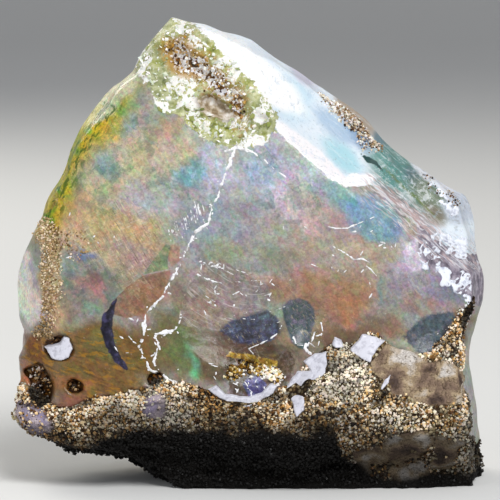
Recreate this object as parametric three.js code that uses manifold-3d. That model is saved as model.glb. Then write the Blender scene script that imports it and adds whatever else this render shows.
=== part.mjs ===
// A rough Ethiopian opal: one broken stone of translucent precious opal, still grown to the pale host rock
// that caps its foot and its back. Millimetres, +Z up. The big opal face looks along -Y, +X is to its right,
// and the origin is on the resting face, under the middle of the stone's bounding box.

import * as THREE from "three";
import { mergeVertices } from "three/addons/utils/BufferGeometryUtils.js";
import Module from "manifold-3d";

const wasm = await Module();
wasm.setup();

// Driving sizes

const WIDTH = 52;
const HEIGHT = 51;
const DEPTH = 28;
const MESH_CELL = 1.45;

// The stone's outline seen from the front, as [x, z], clockwise from the apex. It runs below the resting face.
const OUTLINE = [
  [-8.4, 51], [-4.5, 50], [0.5, 48.2], [4.8, 45.4], [8.6, 43], [12, 40.6], [15.3, 37.4], [18.3, 35.1],
  [21.4, 33], [24.4, 30.9], [25.5, 27.5], [26, 23], [25.8, 19.5], [24.8, 15.5], [24.8, 12.5], [25.6, 8.5],
  [26, 5], [25.8, -3], [-7, -3], [-13, 2], [-20.4, 3.3], [-25, 5.8], [-26, 7.2], [-25.6, 9.6], [-25, 11],
  [-25.5, 13.5], [-24.4, 16.2], [-25, 17.6], [-25.8, 22.3], [-25, 24.6], [-23.7, 27.3], [-22.6, 28.8],
  [-21.7, 32], [-20.5, 34.5], [-19.9, 36.2], [-18.5, 38.6], [-16.8, 40.6], [-14.9, 43], [-12.6, 44.9],
  [-11.6, 47], [-10.2, 49],
];

// The big face leans back from its foot and is gently domed from side to side.
const FACE = { footY: -9.4, footZ: 9, lean: 0.15, crestX: 2, radius: 140 };

// The bevel from the apex down the right shoulder: it falls back from a broken edge.
const SHOULDER = {
  edge: [[-7.6, 51], [-4.6, 47.9], [-1.7, 45.7], [0.3, 43.2], [3.1, 39.1], [5, 37.1], [9.2, 33.5],
    [10.8, 32.7], [13.8, 32.7], [16.9, 30.2], [21.4, 26.2], [26, 24.4]],
  slope: 1.15,
};

// The flaked corner under the bevel is one flat face, turned to the right from a straight edge.
const FLAKED_CORNER = { edge: [[20.2, 24], [24.4, 20.2]], slope: 0.75 };

// The crumbled patch at the apex, tilted back from the big face.
const APEX_PATCH = {
  outline: [[-14, 47], [-10.7, 43.2], [-9.6, 40.8], [-7.6, 40.6], [-5.8, 38.7], [-3.5, 37.3], [-0.8, 36.9],
    [1.7, 37.3], [3.1, 38.7], [3.3, 40.8], [0.3, 44.5], [-4.6, 49], [-8, 53]],
  slope: 0.42,
};

// The thin left rim, and the shell-like flake low on it.
const RIM = { width: 5.5, drop: 3.4, fullX: -13, startX: -5 };
const RIM_FLAKE = {
  edge: [[-24.4, 29.5], [-22.7, 26.5], [-22.2, 24.4], [-22.7, 21.3], [-23.3, 18.2], [-25.5, 15.8]],
  slope: 0.9,
};

// Bowls in the front: centre, half sizes, depth, and turn in degrees. A knob has a depth below 0.
const BOWLS = [
  { name: "great shell", x: -2.1, z: 18.7, halfX: 5.4, halfZ: 5.6, depth: 1.3, turn: 0 },
  { name: "teal oval", x: 6.3, z: 18.3, halfX: 2.1, halfZ: 2.8, depth: 0.8, turn: -12 },
  { name: "lens hollow", x: 2, z: 13.4, halfX: 4.6, halfZ: 2.4, depth: 1, turn: 4 },
  { name: "dark window", x: 19.4, z: 17.6, halfX: 2.8, halfZ: 3.4, depth: 0.7, turn: 35 },
  { name: "shoulder scoop", x: 9, z: 38.5, halfX: 8.5, halfZ: 3.4, depth: 0.9, turn: -42 },
  { name: "white corner knob", x: 22.3, z: 31.2, halfX: 4, halfZ: 2.6, depth: -1.3, turn: -38 },
];

// Pits that are cut with small balls: centre seen from the front, radius, and how deep the ball sits.
const PITS = [
  { name: "chip cavity", x: -20.7, z: 15.1, radius: 1.8, depth: 1.1 },
  { name: "left vug, upper half", x: -23, z: 12.4, radius: 1.4, depth: 1.2 },
  { name: "left vug, lower half", x: -22.8, z: 10.9, radius: 1.2, depth: 1.1 },
  { name: "rusty pit", x: -18.7, z: 10.8, radius: 0.9, depth: 0.8 },
  { name: "rusty pit by the vein", x: -9.8, z: 12, radius: 0.8, depth: 0.7 },
  { name: "apex hole, top", x: -5.7, z: 45.5, radius: 1.1, depth: 0.7 },
  { name: "apex hole, middle", x: -3.6, z: 43.6, radius: 1.3, depth: 0.9 },
  { name: "apex hole, foot", x: -2.3, z: 41.6, radius: 1.6, depth: 1.1 },
  { name: "corner pit", x: 24.2, z: 17.9, radius: 1, depth: 0.8 },
];

// How far a pit departs from a ball, as a share of its radius, and the size of one swell of its wall.
const PIT_SWELL = { share: 0.4, size: 0.9 };

// Open cracks, cut along [x, z] on the front: half width, and how deep the cut goes.
const CRACKS = [
  {
    name: "crescent",
    line: [[-14.3, 20.4], [-15.6, 18.9], [-16, 17.2], [-15.5, 15.2], [-14.6, 13.5], [-13.3, 12.4]],
    radius: 0.75,
    depth: 0.6,
  },
  {
    name: "behind the right slab",
    line: [[24.1, 14], [24.2, 11.5], [24.5, 8.5], [24.7, 5.6]],
    radius: 0.5,
    depth: 1,
  },
];

// Host rock at the foot: where it meets the opal, its brow, and the undercut below the brow. All along x.
const ROCK = {
  top: [[-26, 11.4], [-24.2, 11.2], [-22.3, 10.1], [-20.7, 8.9], [-19, 8.8], [-17.4, 9.6], [-13.5, 10.4],
    [-9.1, 11.5], [-6.9, 11.2], [-4.6, 10.4], [-2.4, 9.6], [0, 9.3], [2.5, 9.8], [4.8, 10.9], [7, 13.8],
    [9.7, 16.2], [11, 15.7], [13.5, 16.7], [15.3, 16], [18.6, 13.9], [20.2, 14.3], [22.4, 17],
    [24.7, 19.8], [26.2, 20.8]],
  browZ: [[-26, 8], [-20, 6.6], [-12, 6.8], [-4, 6], [4, 5.6], [12, 6.2], [20, 6.8], [26, 6.4]],
  browY: [[-26, -8.6], [-21, -11.6], [-14, -12.8], [-6, -13.2], [1, -13.5], [8, -14], [16, -13.9],
    [23, -12.8], [26, -11.4]],
  rise: 1.4,
  undercut: 0.74,
  undercutPower: 1.2,
};

// The back is knapped into a few flat-ish faces: y = at + alongX * x + alongZ * z, blended over a short radius.
const BACK = {
  faces: [
    { name: "middle", at: 13.6, alongX: -0.03, alongZ: -0.05 },
    { name: "left wedge", at: 17.4, alongX: 0.62, alongZ: -0.02 },
    { name: "right", at: 20.6, alongX: -0.56, alongZ: 0.02 },
    { name: "top", at: 28.6, alongX: 0.05, alongZ: -0.45 },
    { name: "foot", at: 7.6, alongX: 0.02, alongZ: 0.95 },
  ],
  blend: 1.6,
  scoops: [
    { x: -12, z: 30, halfX: 8.5, halfZ: 10, depth: 1.5, turn: 20 },
    { x: 9, z: 27, halfX: 8, halfZ: 7, depth: 1.3, turn: -30 },
    { x: 3, z: 12, halfX: 7, halfZ: 5, depth: 0.9, turn: 10 },
  ],
};

// The broken sides draw in from the outline towards the front and the back.
const SIDE_TAPER = 0.2;

// The underside rises to the left from where the stone stops resting. Its foot is made deeper and cut flat.
const UNDERSIDE = { startX: -7, slope: 0.22, spare: 3 };

// Roughness: how far each surface swells, at the size of one swell.
const LUMPS = { height: 0.85, size: 5.2, fineHeight: 0.4, fineSize: 2.3 };
const CHIPS = { height: 0.55, size: 4.2 };
const WAVES = { height: 0.16, size: 7.5 };

// Noise that takes any lattice of whole numbers to values from -1 to 1, smooth in between

function latticeValue(i, j, k) {
  let hash = Math.imul(i, 374761393) ^ Math.imul(j, 668265263) ^ Math.imul(k, 1442695041);
  hash = Math.imul(hash ^ (hash >>> 13), 1274126177);
  return ((hash ^ (hash >>> 16)) >>> 0) / 2 ** 31 - 1;
}

const ease = (t) => t * t * t * (t * (6 * t - 15) + 10);

function noise(x, y, z) {
  const [i, j, k] = [Math.floor(x), Math.floor(y), Math.floor(z)];
  const [u, v, w] = [ease(x - i), ease(y - j), ease(z - k)];
  const row = (dj, dk) => THREE.MathUtils.lerp(latticeValue(i, j + dj, k + dk), latticeValue(i + 1, j + dj, k + dk), u);
  const sheet = (dk) => THREE.MathUtils.lerp(row(0, dk), row(1, dk), v);
  return THREE.MathUtils.lerp(sheet(0), sheet(1), w);
}

// Distances to lines drawn on the front view

function segmentDistance(x, z, [ax, az], [bx, bz]) {
  const [dx, dz] = [bx - ax, bz - az];
  const t = THREE.MathUtils.clamp(((x - ax) * dx + (z - az) * dz) / (dx * dx + dz * dz), 0, 1);
  return Math.hypot(x - ax - t * dx, z - az - t * dz);
}

function lineDistance(line, x, z) {
  let nearest = Infinity;
  for (let i = 1; i < line.length; i += 1) {
    nearest = Math.min(nearest, segmentDistance(x, z, line[i - 1], line[i]));
  }
  return nearest;
}

// How deep a point is inside a closed outline, and negative outside it.
function depthInside(outline, x, z) {
  let inside = false;
  let nearest = Infinity;
  outline.forEach((a, i) => {
    const b = outline[(i + 1) % outline.length];
    nearest = Math.min(nearest, segmentDistance(x, z, a, b));
    if (a[1] > z !== b[1] > z && x < ((b[0] - a[0]) * (z - a[1])) / (b[1] - a[1]) + a[0]) {
      inside = !inside;
    }
  });
  return inside ? nearest : -nearest;
}

// The height of a curve that runs along x, straight between its points.
function along(curve, x) {
  const last = curve.length - 1;
  if (x <= curve[0][0]) return curve[0][1];
  if (x >= curve[last][0]) return curve[last][1];
  const i = curve.findIndex((point) => point[0] > x);
  const [[ax, az], [bx, bz]] = [curve[i - 1], curve[i]];
  return THREE.MathUtils.mapLinear(x, ax, bx, az, bz);
}

// How far a point is above an edge that runs along x, and 0 below it.
function above(edge, x, z) {
  return z > along(edge, x) ? lineDistance(edge, x, z) : 0;
}

// How far a point is above an endless straight edge that falls to the right, and 0 below it.
function past([[ax, az], [bx, bz]], x, z) {
  const [dx, dz] = [bx - ax, bz - az];
  return Math.max(0, (dx * (z - az) - dz * (x - ax)) / Math.hypot(dx, dz));
}

// How far a point is to the left of an edge that runs down z, and 0 to its right.
function leftOf(edge, x, z) {
  const turned = edge.map(([ex, ez]) => [ez, ex]).reverse();
  return x < along(turned, z) ? lineDistance(edge, x, z) : 0;
}

// A shallow bowl: its depth at a point, 0 outside its rim.
function bowl({ x: cx, z: cz, halfX, halfZ, depth, turn }, x, z) {
  const angle = THREE.MathUtils.degToRad(turn);
  const [dx, dz] = [x - cx, z - cz];
  const u = (dx * Math.cos(angle) + dz * Math.sin(angle)) / halfX;
  const v = (dz * Math.cos(angle) - dx * Math.sin(angle)) / halfZ;
  return depth * Math.max(0, 1 - u * u - v * v);
}

// The stone's surfaces, each as the y that it has at a place on the front view

function bigFace(x, z) {
  return FACE.footY + FACE.lean * (z - FACE.footZ) + (x - FACE.crestX) ** 2 / (2 * FACE.radius);
}

function opalFront(x, z, inset) {
  const shoulder = SHOULDER.slope * above(SHOULDER.edge, x, z);
  const corner = FLAKED_CORNER.slope * past(FLAKED_CORNER.edge, x, z);
  const patch = APEX_PATCH.slope * Math.max(0, depthInside(APEX_PATCH.outline, x, z));
  const flake = RIM_FLAKE.slope * leftOf(RIM_FLAKE.edge, x, z);
  const toRim = THREE.MathUtils.clamp((RIM.width - inset) / RIM.width, 0, 1);
  const rim = RIM.drop * toRim ** 2 * (1 - THREE.MathUtils.smoothstep(x, RIM.fullX, RIM.startX));
  const bowls = BOWLS.reduce((total, one) => total + bowl(one, x, z), 0);
  return bigFace(x, z) + Math.max(shoulder, corner) + patch + flake + rim + bowls;
}

function rockFront(x, z) {
  const top = along(ROCK.top, x);
  const browZ = along(ROCK.browZ, x);
  const browY = along(ROCK.browY, x);
  if (z < browZ) {
    return browY + ROCK.undercut * (browZ - z) ** ROCK.undercutPower;
  }
  return browY + (bigFace(x, top) - browY) * ((z - browZ) / (top - browZ)) ** ROCK.rise;
}

// Takes the least of some values, with the corners between them rounded.
function softLeast(values, blend) {
  const least = Math.min(...values);
  const sum = values.reduce((total, value) => total + Math.exp((least - value) / blend), 0);
  return least - blend * Math.log(sum);
}

function backFace(x, z) {
  const faces = BACK.faces.map((face) => face.at + face.alongX * x + face.alongZ * z);
  const scooped = BACK.scoops.reduce((total, scoop) => total + bowl(scoop, x, z), 0);
  return softLeast(faces, BACK.blend) - scooped;
}

// The stone as one number at a point: below 0 inside it, above 0 outside it.
function stone(x, y, z) {
  const inset = depthInside(OUTLINE, x, z);
  const opal = opalFront(x, z, inset) + WAVES.height * noise(x / WAVES.size, y / WAVES.size, z / WAVES.size);
  const lumps =
    LUMPS.height * noise(x / LUMPS.size, y / LUMPS.size, z / LUMPS.size) +
    LUMPS.fineHeight * noise(x / LUMPS.fineSize, y / LUMPS.fineSize, z / LUMPS.fineSize);
  const front = Math.min(opal, rockFront(x, z) - lumps);
  const back = backFace(x, z) + lumps;
  const chips = CHIPS.height * noise(x / CHIPS.size, y / CHIPS.size, z / CHIPS.size);
  const side = -inset - chips + SIDE_TAPER * Math.abs(y - (front + back) / 2);
  const foot = Math.max(-UNDERSIDE.spare, UNDERSIDE.slope * (UNDERSIDE.startX - x));
  return Math.max(front - y, y - back, side, foot - z);
}

// Skins a field with one vertex in each cell that the surface crosses, set where the tangent planes at the
// crossings meet, so that the stone's broken edges stay sharp.

const CORNERS = [0, 1, 2, 3, 4, 5, 6, 7].map((n) => [n & 1, (n >> 1) & 1, n >> 2]);
const CELL_EDGES = CORNERS.flatMap((a, i) =>
  CORNERS.map((b, j) => [i, j, Math.abs(a[0] - b[0]) + Math.abs(a[1] - b[1]) + Math.abs(a[2] - b[2])]),
).filter(([i, j, steps]) => i < j && steps === 1);
const PULL_TO_MIDDLE = 0.08;
const SLOPE_STEP = 0.08;
const CELL_MARGIN = 0.04;
const SETTLE_PASSES = 4;
const SETTLED = 0.02;

function normalAt(field, p) {
  const step = SLOPE_STEP;
  return new THREE.Vector3(
    field(p.x + step, p.y, p.z) - field(p.x - step, p.y, p.z),
    field(p.x, p.y + step, p.z) - field(p.x, p.y - step, p.z),
    field(p.x, p.y, p.z + step) - field(p.x, p.y, p.z - step),
  ).normalize();
}

function cellVertex(field, corners, values, cell) {
  const crossings = CELL_EDGES.filter(([i, j]) => values[i] < 0 !== values[j] < 0).map(([i, j]) =>
    corners[i].clone().lerp(corners[j], values[i] / (values[i] - values[j])),
  );
  const middle = crossings.reduce((sum, c) => sum.add(c), new THREE.Vector3()).divideScalar(crossings.length);
  const sums = new Array(9).fill(0);
  const target = middle.clone().multiplyScalar(PULL_TO_MIDDLE);
  for (const c of crossings) {
    const n = normalAt(field, c);
    const axes = n.toArray();
    axes.forEach((a, row) => axes.forEach((b, column) => (sums[3 * row + column] += a * b)));
    target.addScaledVector(n, n.dot(c));
  }
  [0, 4, 8].forEach((diagonal) => (sums[diagonal] += PULL_TO_MIDDLE));
  const vertex = target.applyMatrix3(new THREE.Matrix3().set(...sums).invert());
  const low = corners[0];
  return vertex.clamp(low.clone().addScalar(CELL_MARGIN), low.clone().addScalar(cell - CELL_MARGIN));
}

// Calls visit for each whole [i, j, k] from the first to one before the last.
function eachPlace(first, last, visit) {
  for (let k = first[2]; k < last[2]; k += 1) {
    for (let j = first[1]; j < last[1]; j += 1) {
      for (let i = first[0]; i < last[0]; i += 1) {
        visit([i, j, k]);
      }
    }
  }
}

const AXES = [[1, 0, 0], [0, 1, 0], [0, 0, 1]];
const SQUARE = [[0, 0], [1, 0], [1, 1], [0, 1]];

// The four places around a grid square, from its first corner along two axes, or back along them.
function squareAt(place, u, v, way = 1) {
  return SQUARE.map(([s, t]) => place.map((n, axis) => n + way * (s * u[axis] + t * v[axis])));
}

// A grid square whose corners are inside and outside by turns would make the skin touch itself, so its corner
// nearest the surface changes sides.
function settle(values, node, counts) {
  for (let pass = 0; pass < SETTLE_PASSES; pass += 1) {
    eachPlace([0, 0, 0], counts, (place) => {
      AXES.forEach((u, axis) => {
        const ring = squareAt(place, u, AXES[(axis + 1) % 3]).map(node);
        const [a, b, c, d] = ring.map((n) => values[n] < 0);
        if (a === b || a !== c || b !== d) return;
        const nearest = ring.reduce((n, m) => (Math.abs(values[n]) <= Math.abs(values[m]) ? n : m));
        values[nearest] = values[nearest] < 0 ? SETTLED : -SETTLED;
      });
    });
  }
}

function skin(field, low, high, cell) {
  const counts = high.clone().sub(low).divideScalar(cell).ceil().toArray();
  const node = ([i, j, k]) => i + (counts[0] + 1) * (j + (counts[1] + 1) * k);
  const point = ([i, j, k]) => new THREE.Vector3(low.x + i * cell, low.y + j * cell, low.z + k * cell);
  const cornersOf = (place) => CORNERS.map((corner) => corner.map((step, axis) => place[axis] + step));
  const values = [];
  eachPlace([0, 0, 0], counts.map((n) => n + 1), (place) => values.push(field(...point(place).toArray())));
  settle(values, node, counts);

  const vertices = [];
  const vertexOf = new Map();
  eachPlace([0, 0, 0], counts, (place) => {
    const corners = cornersOf(place);
    const own = corners.map((corner) => values[node(corner)]);
    const inside = own.filter((value) => value < 0).length;
    if (inside === 0 || inside === CORNERS.length) return;
    vertexOf.set(node(place), vertices.length);
    vertices.push(cellVertex(field, corners.map(point), own, cell));
  });

  const faces = [];
  eachPlace([1, 1, 1], counts, (place) => {
    AXES.forEach((along, axis) => {
      const here = values[node(place)] < 0;
      const next = place.map((n, i) => n + along[i]);
      if (here === values[node(next)] < 0) return;
      const ring = squareAt(place, AXES[(axis + 1) % 3], AXES[(axis + 2) % 3], -1).map((p) => vertexOf.get(node(p)));
      if (!here) ring.reverse();
      const [p, q, r, s] = ring.map((index) => vertices[index]);
      const split = p.distanceTo(r) < q.distanceTo(s) ? [0, 1, 2, 0, 2, 3] : [1, 2, 3, 1, 3, 0];
      faces.push(...split.map((corner) => ring[corner]));
    });
  });
  const geometry = new THREE.BufferGeometry();
  geometry.setAttribute("position", new THREE.Float32BufferAttribute(vertices.flatMap((v) => v.toArray()), 3));
  geometry.setIndex(faces);
  return geometry;
}

// Closed three.js geometry as a solid for cutting, and back again

function solidOf(geometry) {
  const bare = geometry.clone();
  bare.deleteAttribute("normal");
  bare.deleteAttribute("uv");
  const merged = mergeVertices(bare, 1e-4);
  return new wasm.Manifold(
    new wasm.Mesh({
      numProp: 3,
      vertProperties: merged.attributes.position.array,
      triVerts: new Uint32Array(merged.index.array),
    }),
  );
}

function geometryOf(solid) {
  const mesh = solid.getMesh();
  const geometry = new THREE.BufferGeometry();
  geometry.setAttribute("position", new THREE.BufferAttribute(mesh.vertProperties, 3));
  geometry.setIndex(new THREE.BufferAttribute(mesh.triVerts, 1));
  return geometry;
}

// The front surface's y at a place on the front view, found by halving along y.
const FRONT_HALVINGS = 24;

function frontAt(x, z) {
  let [outside, inside] = [-DEPTH, 0];
  for (let step = 0; step < FRONT_HALVINGS; step += 1) {
    const y = (outside + inside) / 2;
    if (stone(x, y, z) < 0) inside = y;
    else outside = y;
  }
  return inside;
}

// A ball that cuts one pit, pushed in and out all over so that the hole is a broken one.
function pitCutter({ x, z, radius, depth }) {
  const ball = new THREE.IcosahedronGeometry(radius, 1);
  const points = ball.attributes.position;
  const point = new THREE.Vector3();
  for (let i = 0; i < points.count; i += 1) {
    point.fromBufferAttribute(points, i);
    const swell = noise(x + point.x / PIT_SWELL.size, point.y / PIT_SWELL.size, z + point.z / PIT_SWELL.size);
    point.multiplyScalar(1 + PIT_SWELL.share * swell);
    points.setXYZ(i, point.x, point.y, point.z);
  }
  ball.translate(x, frontAt(x, z) + depth - radius, z);
  return solidOf(ball);
}

// A round bar that follows the front surface and cuts one crack.
function crackCutter({ line, radius, depth }) {
  const points = line.map(([x, z]) => new THREE.Vector3(x, frontAt(x, z) + depth - radius, z));
  const section = new THREE.Shape().absarc(0, 0, radius, 0, 2 * Math.PI);
  const path = new THREE.CatmullRomCurve3(points);
  return solidOf(new THREE.ExtrudeGeometry(section, { extrudePath: path, steps: 8, curveSegments: 4 }));
}

function restingCutter() {
  const block = new THREE.BoxGeometry(2 * WIDTH, 2 * DEPTH, HEIGHT);
  block.translate(0, 0, -HEIGHT / 2);
  return solidOf(block);
}

// The skinned stone, cut flat to rest, with its pits and cracks, moved so that its box is centred.
function roughOpal() {
  const margin = 3;
  const low = new THREE.Vector3(-WIDTH / 2 - margin, -DEPTH / 2 - margin, -2 * margin);
  const high = new THREE.Vector3(WIDTH / 2 + margin, DEPTH / 2 + margin, HEIGHT + margin);
  const cutters = [restingCutter(), ...PITS.map(pitCutter), ...CRACKS.map(crackCutter)];
  const solid = cutters.reduce((left, cutter) => left.subtract(cutter), solidOf(skin(stone, low, high, MESH_CELL)));
  const geometry = geometryOf(solid);
  geometry.computeBoundingBox();
  const middle = geometry.boundingBox.getCenter(new THREE.Vector3());
  geometry.translate(-middle.x, -middle.y, 0);
  const material = new THREE.MeshStandardMaterial({ color: "#b9ac98", roughness: 0.25, metalness: 0 });
  const mesh = new THREE.Mesh(geometry, material);
  mesh.name = "rough_opal";
  return mesh;
}

const part = new THREE.Group();
part.add(roughOpal());

export default part;
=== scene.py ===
"""A rough Ethiopian opal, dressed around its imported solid.

The stone is one broken lump: translucent precious opal with a glassy front face, still grown to sugary host
rock at its foot and over its back. Lengths are millimetres until a mesh is laid into the scene. Places are
measured as in the stone's outline: x to the right, y into the stone from the big face, z up from the resting
face.
"""

import logging
import math
from dataclasses import dataclass, field
from enum import Enum
from functools import reduce
from typing import Callable, Sequence

import bpy
import numpy as np
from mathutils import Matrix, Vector


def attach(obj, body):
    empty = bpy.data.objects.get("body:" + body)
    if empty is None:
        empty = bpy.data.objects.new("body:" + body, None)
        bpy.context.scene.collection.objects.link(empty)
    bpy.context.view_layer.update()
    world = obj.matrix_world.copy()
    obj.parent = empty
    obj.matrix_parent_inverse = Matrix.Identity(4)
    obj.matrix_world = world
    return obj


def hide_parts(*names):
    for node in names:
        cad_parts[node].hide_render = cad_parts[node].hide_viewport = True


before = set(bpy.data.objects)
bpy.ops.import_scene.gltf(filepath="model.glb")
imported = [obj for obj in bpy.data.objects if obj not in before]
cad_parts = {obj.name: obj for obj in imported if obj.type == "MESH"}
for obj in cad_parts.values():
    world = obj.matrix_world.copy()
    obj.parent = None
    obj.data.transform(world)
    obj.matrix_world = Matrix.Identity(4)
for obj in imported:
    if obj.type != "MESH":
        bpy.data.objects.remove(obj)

MM = 0.001
BODY = "root"
STONE_NODE = "rough_opal"

log = logging.getLogger("rough_opal")

Array = np.ndarray
Line = Sequence[tuple[float, float]]
Stroke = Sequence[tuple[float, float, float]]


class Slot(Enum):
    """The record's material slots."""

    OPAL = "opal"
    ROCK = "host_rock"


# Noise


def lattice_value(i: Array, j: Array, k: Array) -> Array:
    """Gives the noise lattice's value at whole coordinates.

    Args:
        i: Whole x coordinates.
        j: Whole y coordinates.
        k: Whole z coordinates.

    Returns:
        A number from -1 to 1 for each.
    """
    a, b, c = (np.asarray(axis, np.int64).astype(np.uint32) for axis in (i, j, k))
    mixed = a * np.uint32(374761393) ^ b * np.uint32(668265263) ^ c * np.uint32(1442695041)
    mixed = (mixed ^ (mixed >> np.uint32(13))) * np.uint32(1274126177)
    return (mixed ^ (mixed >> np.uint32(16))) / 2.0**31 - 1


def ease(t: Array) -> Array:
    """Smooths a step from 0 to 1 so that its slope and bend start and end at 0."""
    return t * t * t * (t * (6 * t - 15) + 10)


def noise(x: Array, y: Array, z: Array) -> Array:
    """Gives smooth noise from -1 to 1 at scattered points, one swell to a unit.

    Args:
        x: Places along x.
        y: Places along y.
        z: Places along z.

    Returns:
        The noise at each point.
    """
    i, j, k = np.floor(x), np.floor(y), np.floor(z)
    u, v, w = ease(x - i), ease(y - j), ease(z - k)
    total = np.zeros(np.broadcast(x, y, z).shape)
    for di in (0, 1):
        for dj in (0, 1):
            for dk in (0, 1):
                share = (u if di else 1 - u) * (v if dj else 1 - v) * (w if dk else 1 - w)
                total += share * lattice_value(i + di, j + dj, k + dk)
    return total


def axis_weights(places: Array) -> tuple[Array, Array]:
    """Gives the weights that take lattice points to samples along one axis.

    Args:
        places: Sample places along the axis, one lattice step to a unit.

    Returns:
        The weights, one row to a sample, and the whole coordinates of the columns.
    """
    base = np.floor(places).astype(int)
    columns = np.arange(base.min(), base.max() + 2)
    weights = np.zeros((len(places), len(columns)))
    t = ease(places - base)
    rows = np.arange(len(places))
    weights[rows, base - columns[0]] = 1 - t
    weights[rows, base - columns[0] + 1] += t
    return weights, columns


def grid_noise(axes: Sequence[Array], *sizes: float) -> Array:
    """Gives the same noise as noise() on a whole grid.

    Args:
        axes: The grid's places along x, y and z.
        sizes: The size of one swell, or its sizes along x, y and z.

    Returns:
        The noise, shaped as the grid.
    """
    spans = sizes * 3 if len(sizes) == 1 else sizes
    (wx, i), (wy, j), (wz, k) = (axis_weights(axis / span) for axis, span in zip(axes, spans))
    lattice = lattice_value(i[:, None, None], j[None, :, None], k[None, None, :])
    return np.einsum("ai,ijk,bj,ck->abc", wx, lattice, wy, wz, optimize=True).astype(np.float32)


def layered_noise(x: Array, z: Array, size: float, octaves: int, seed: float) -> Array:
    """Adds up octaves of noise on the front view.

    Args:
        x: Places along x.
        z: Places along z.
        size: The size of the widest swells.
        octaves: How many there are, each half as wide and half as high as the one before.
        seed: Picks one of many patterns.

    Returns:
        Numbers mostly from -1 to 1.
    """
    total = np.zeros(np.broadcast(x, z).shape)
    for octave in range(octaves):
        scale = 2**octave / size
        total += noise(x * scale, np.full_like(total, seed + octave), z * scale) / 2**octave
    return total


def cell_noise(x: Array, z: Array, size: float, seed: float) -> tuple[Array, Array]:
    """Splits the front view into random cells.

    Args:
        x: Places along x.
        z: Places along z.
        size: The usual width of a cell.
        seed: Picks one of many patterns.

    Returns:
        The distance to the nearest cell's middle, in cells, and a random number from -1 to 1 for that cell.
    """
    i, k = np.floor(x / size), np.floor(z / size)
    best = np.full(i.shape, np.inf)
    tint = np.zeros(i.shape)
    for di in (-1, 0, 1):
        for dk in (-1, 0, 1):
            ci, ck = i + di, k + dk
            jitter_x = 0.5 + 0.5 * lattice_value(ci, np.full_like(ci, seed), ck)
            jitter_z = 0.5 + 0.5 * lattice_value(ci, np.full_like(ci, seed + 1), ck)
            distance = np.hypot(x / size - ci - jitter_x, z / size - ck - jitter_z)
            closer = distance < best
            best = np.where(closer, distance, best)
            tint = np.where(closer, lattice_value(ci, np.full_like(ci, seed + 2), ck), tint)
    return best, tint


# Lines and outlines on the front view


def stroke_depth(stroke: Stroke, x: Array, z: Array) -> Array:
    """Gives how deep each place is inside a line that has a half width at each of its points.

    Args:
        stroke: The line's points as x, z and half width.
        x: Places along x.
        z: Places along z.

    Returns:
        Depths, negative outside the line.
    """
    deepest = np.full(np.broadcast(x, z).shape, -np.inf)
    for (ax, az, a_half), (bx, bz, b_half) in zip(stroke, stroke[1:]):
        dx, dz = bx - ax, bz - az
        t = np.clip(((x - ax) * dx + (z - az) * dz) / (dx * dx + dz * dz), 0, 1)
        half = a_half + t * (b_half - a_half)
        deepest = np.maximum(deepest, half - np.hypot(x - ax - t * dx, z - az - t * dz))
    return deepest


def line_distance(line: Line, x: Array, z: Array) -> Array:
    """Gives the distance from each place to the nearest point of an open line."""
    return -stroke_depth([(*point, 0.0) for point in line], x, z)


def depth_inside(outline: Line, x: Array, z: Array) -> Array:
    """Gives how deep each place is inside a closed outline, and negative depths outside it.

    Args:
        outline: The outline's corners.
        x: Places along x.
        z: Places along z.

    Returns:
        The depth at each place.
    """
    closed = [*outline, outline[0]]
    inside = np.zeros(np.broadcast(x, z).shape, bool)
    for (ax, az), (bx, bz) in zip(closed, closed[1:]):
        if az != bz:
            inside ^= ((az > z) != (bz > z)) & (x < (bx - ax) * (z - az) / (bz - az) + ax)
    nearest = line_distance(closed, x, z)
    return np.where(inside, nearest, -nearest)


def along(curve: Line, x: Array) -> Array:
    """Gives the height of a curve that runs along x, straight between its points."""
    return np.interp(x, [point[0] for point in curve], [point[1] for point in curve])


def signed_above(edge: Line, x: Array, z: Array) -> Array:
    """Gives the distance above an edge that runs along x, and negative distances below it."""
    distance = line_distance(edge, x, z)
    return np.where(z > along(edge, x), distance, -distance)


def smooth_step(value: Array, low: float, high: float) -> Array:
    """Goes smoothly from 0 at low to 1 at high."""
    t = np.clip((value - low) / (high - low), 0, 1)
    return t * t * (3 - 2 * t)


@dataclass(frozen=True)
class Bowl:
    """A shallow bowl in a surface that is seen from the front. A knob has a depth below 0."""

    x: float
    z: float
    half_x: float
    half_z: float
    depth: float
    turn: float = 0.0
    power: float = 1.0

    def reach(self, x: Array, z: Array) -> Array:
        """Gives 1 at the bowl's middle, 0 at its rim and negative numbers outside.

        Args:
            x: Places along x.
            z: Places along z.

        Returns:
            The number at each place.
        """
        angle = math.radians(self.turn)
        dx, dz = x - self.x, z - self.z
        u = (dx * math.cos(angle) + dz * math.sin(angle)) / self.half_x
        v = (dz * math.cos(angle) - dx * math.sin(angle)) / self.half_z
        return 1 - u * u - v * v

    def at(self, x: Array, z: Array) -> Array:
        """Gives the bowl's depth at each place."""
        return self.depth * np.maximum(0, self.reach(x, z)) ** self.power


@dataclass(frozen=True)
class BackFace:
    """One broken face of the back: y = at + along_x * x + along_z * z."""

    at: float
    along_x: float
    along_z: float


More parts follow.
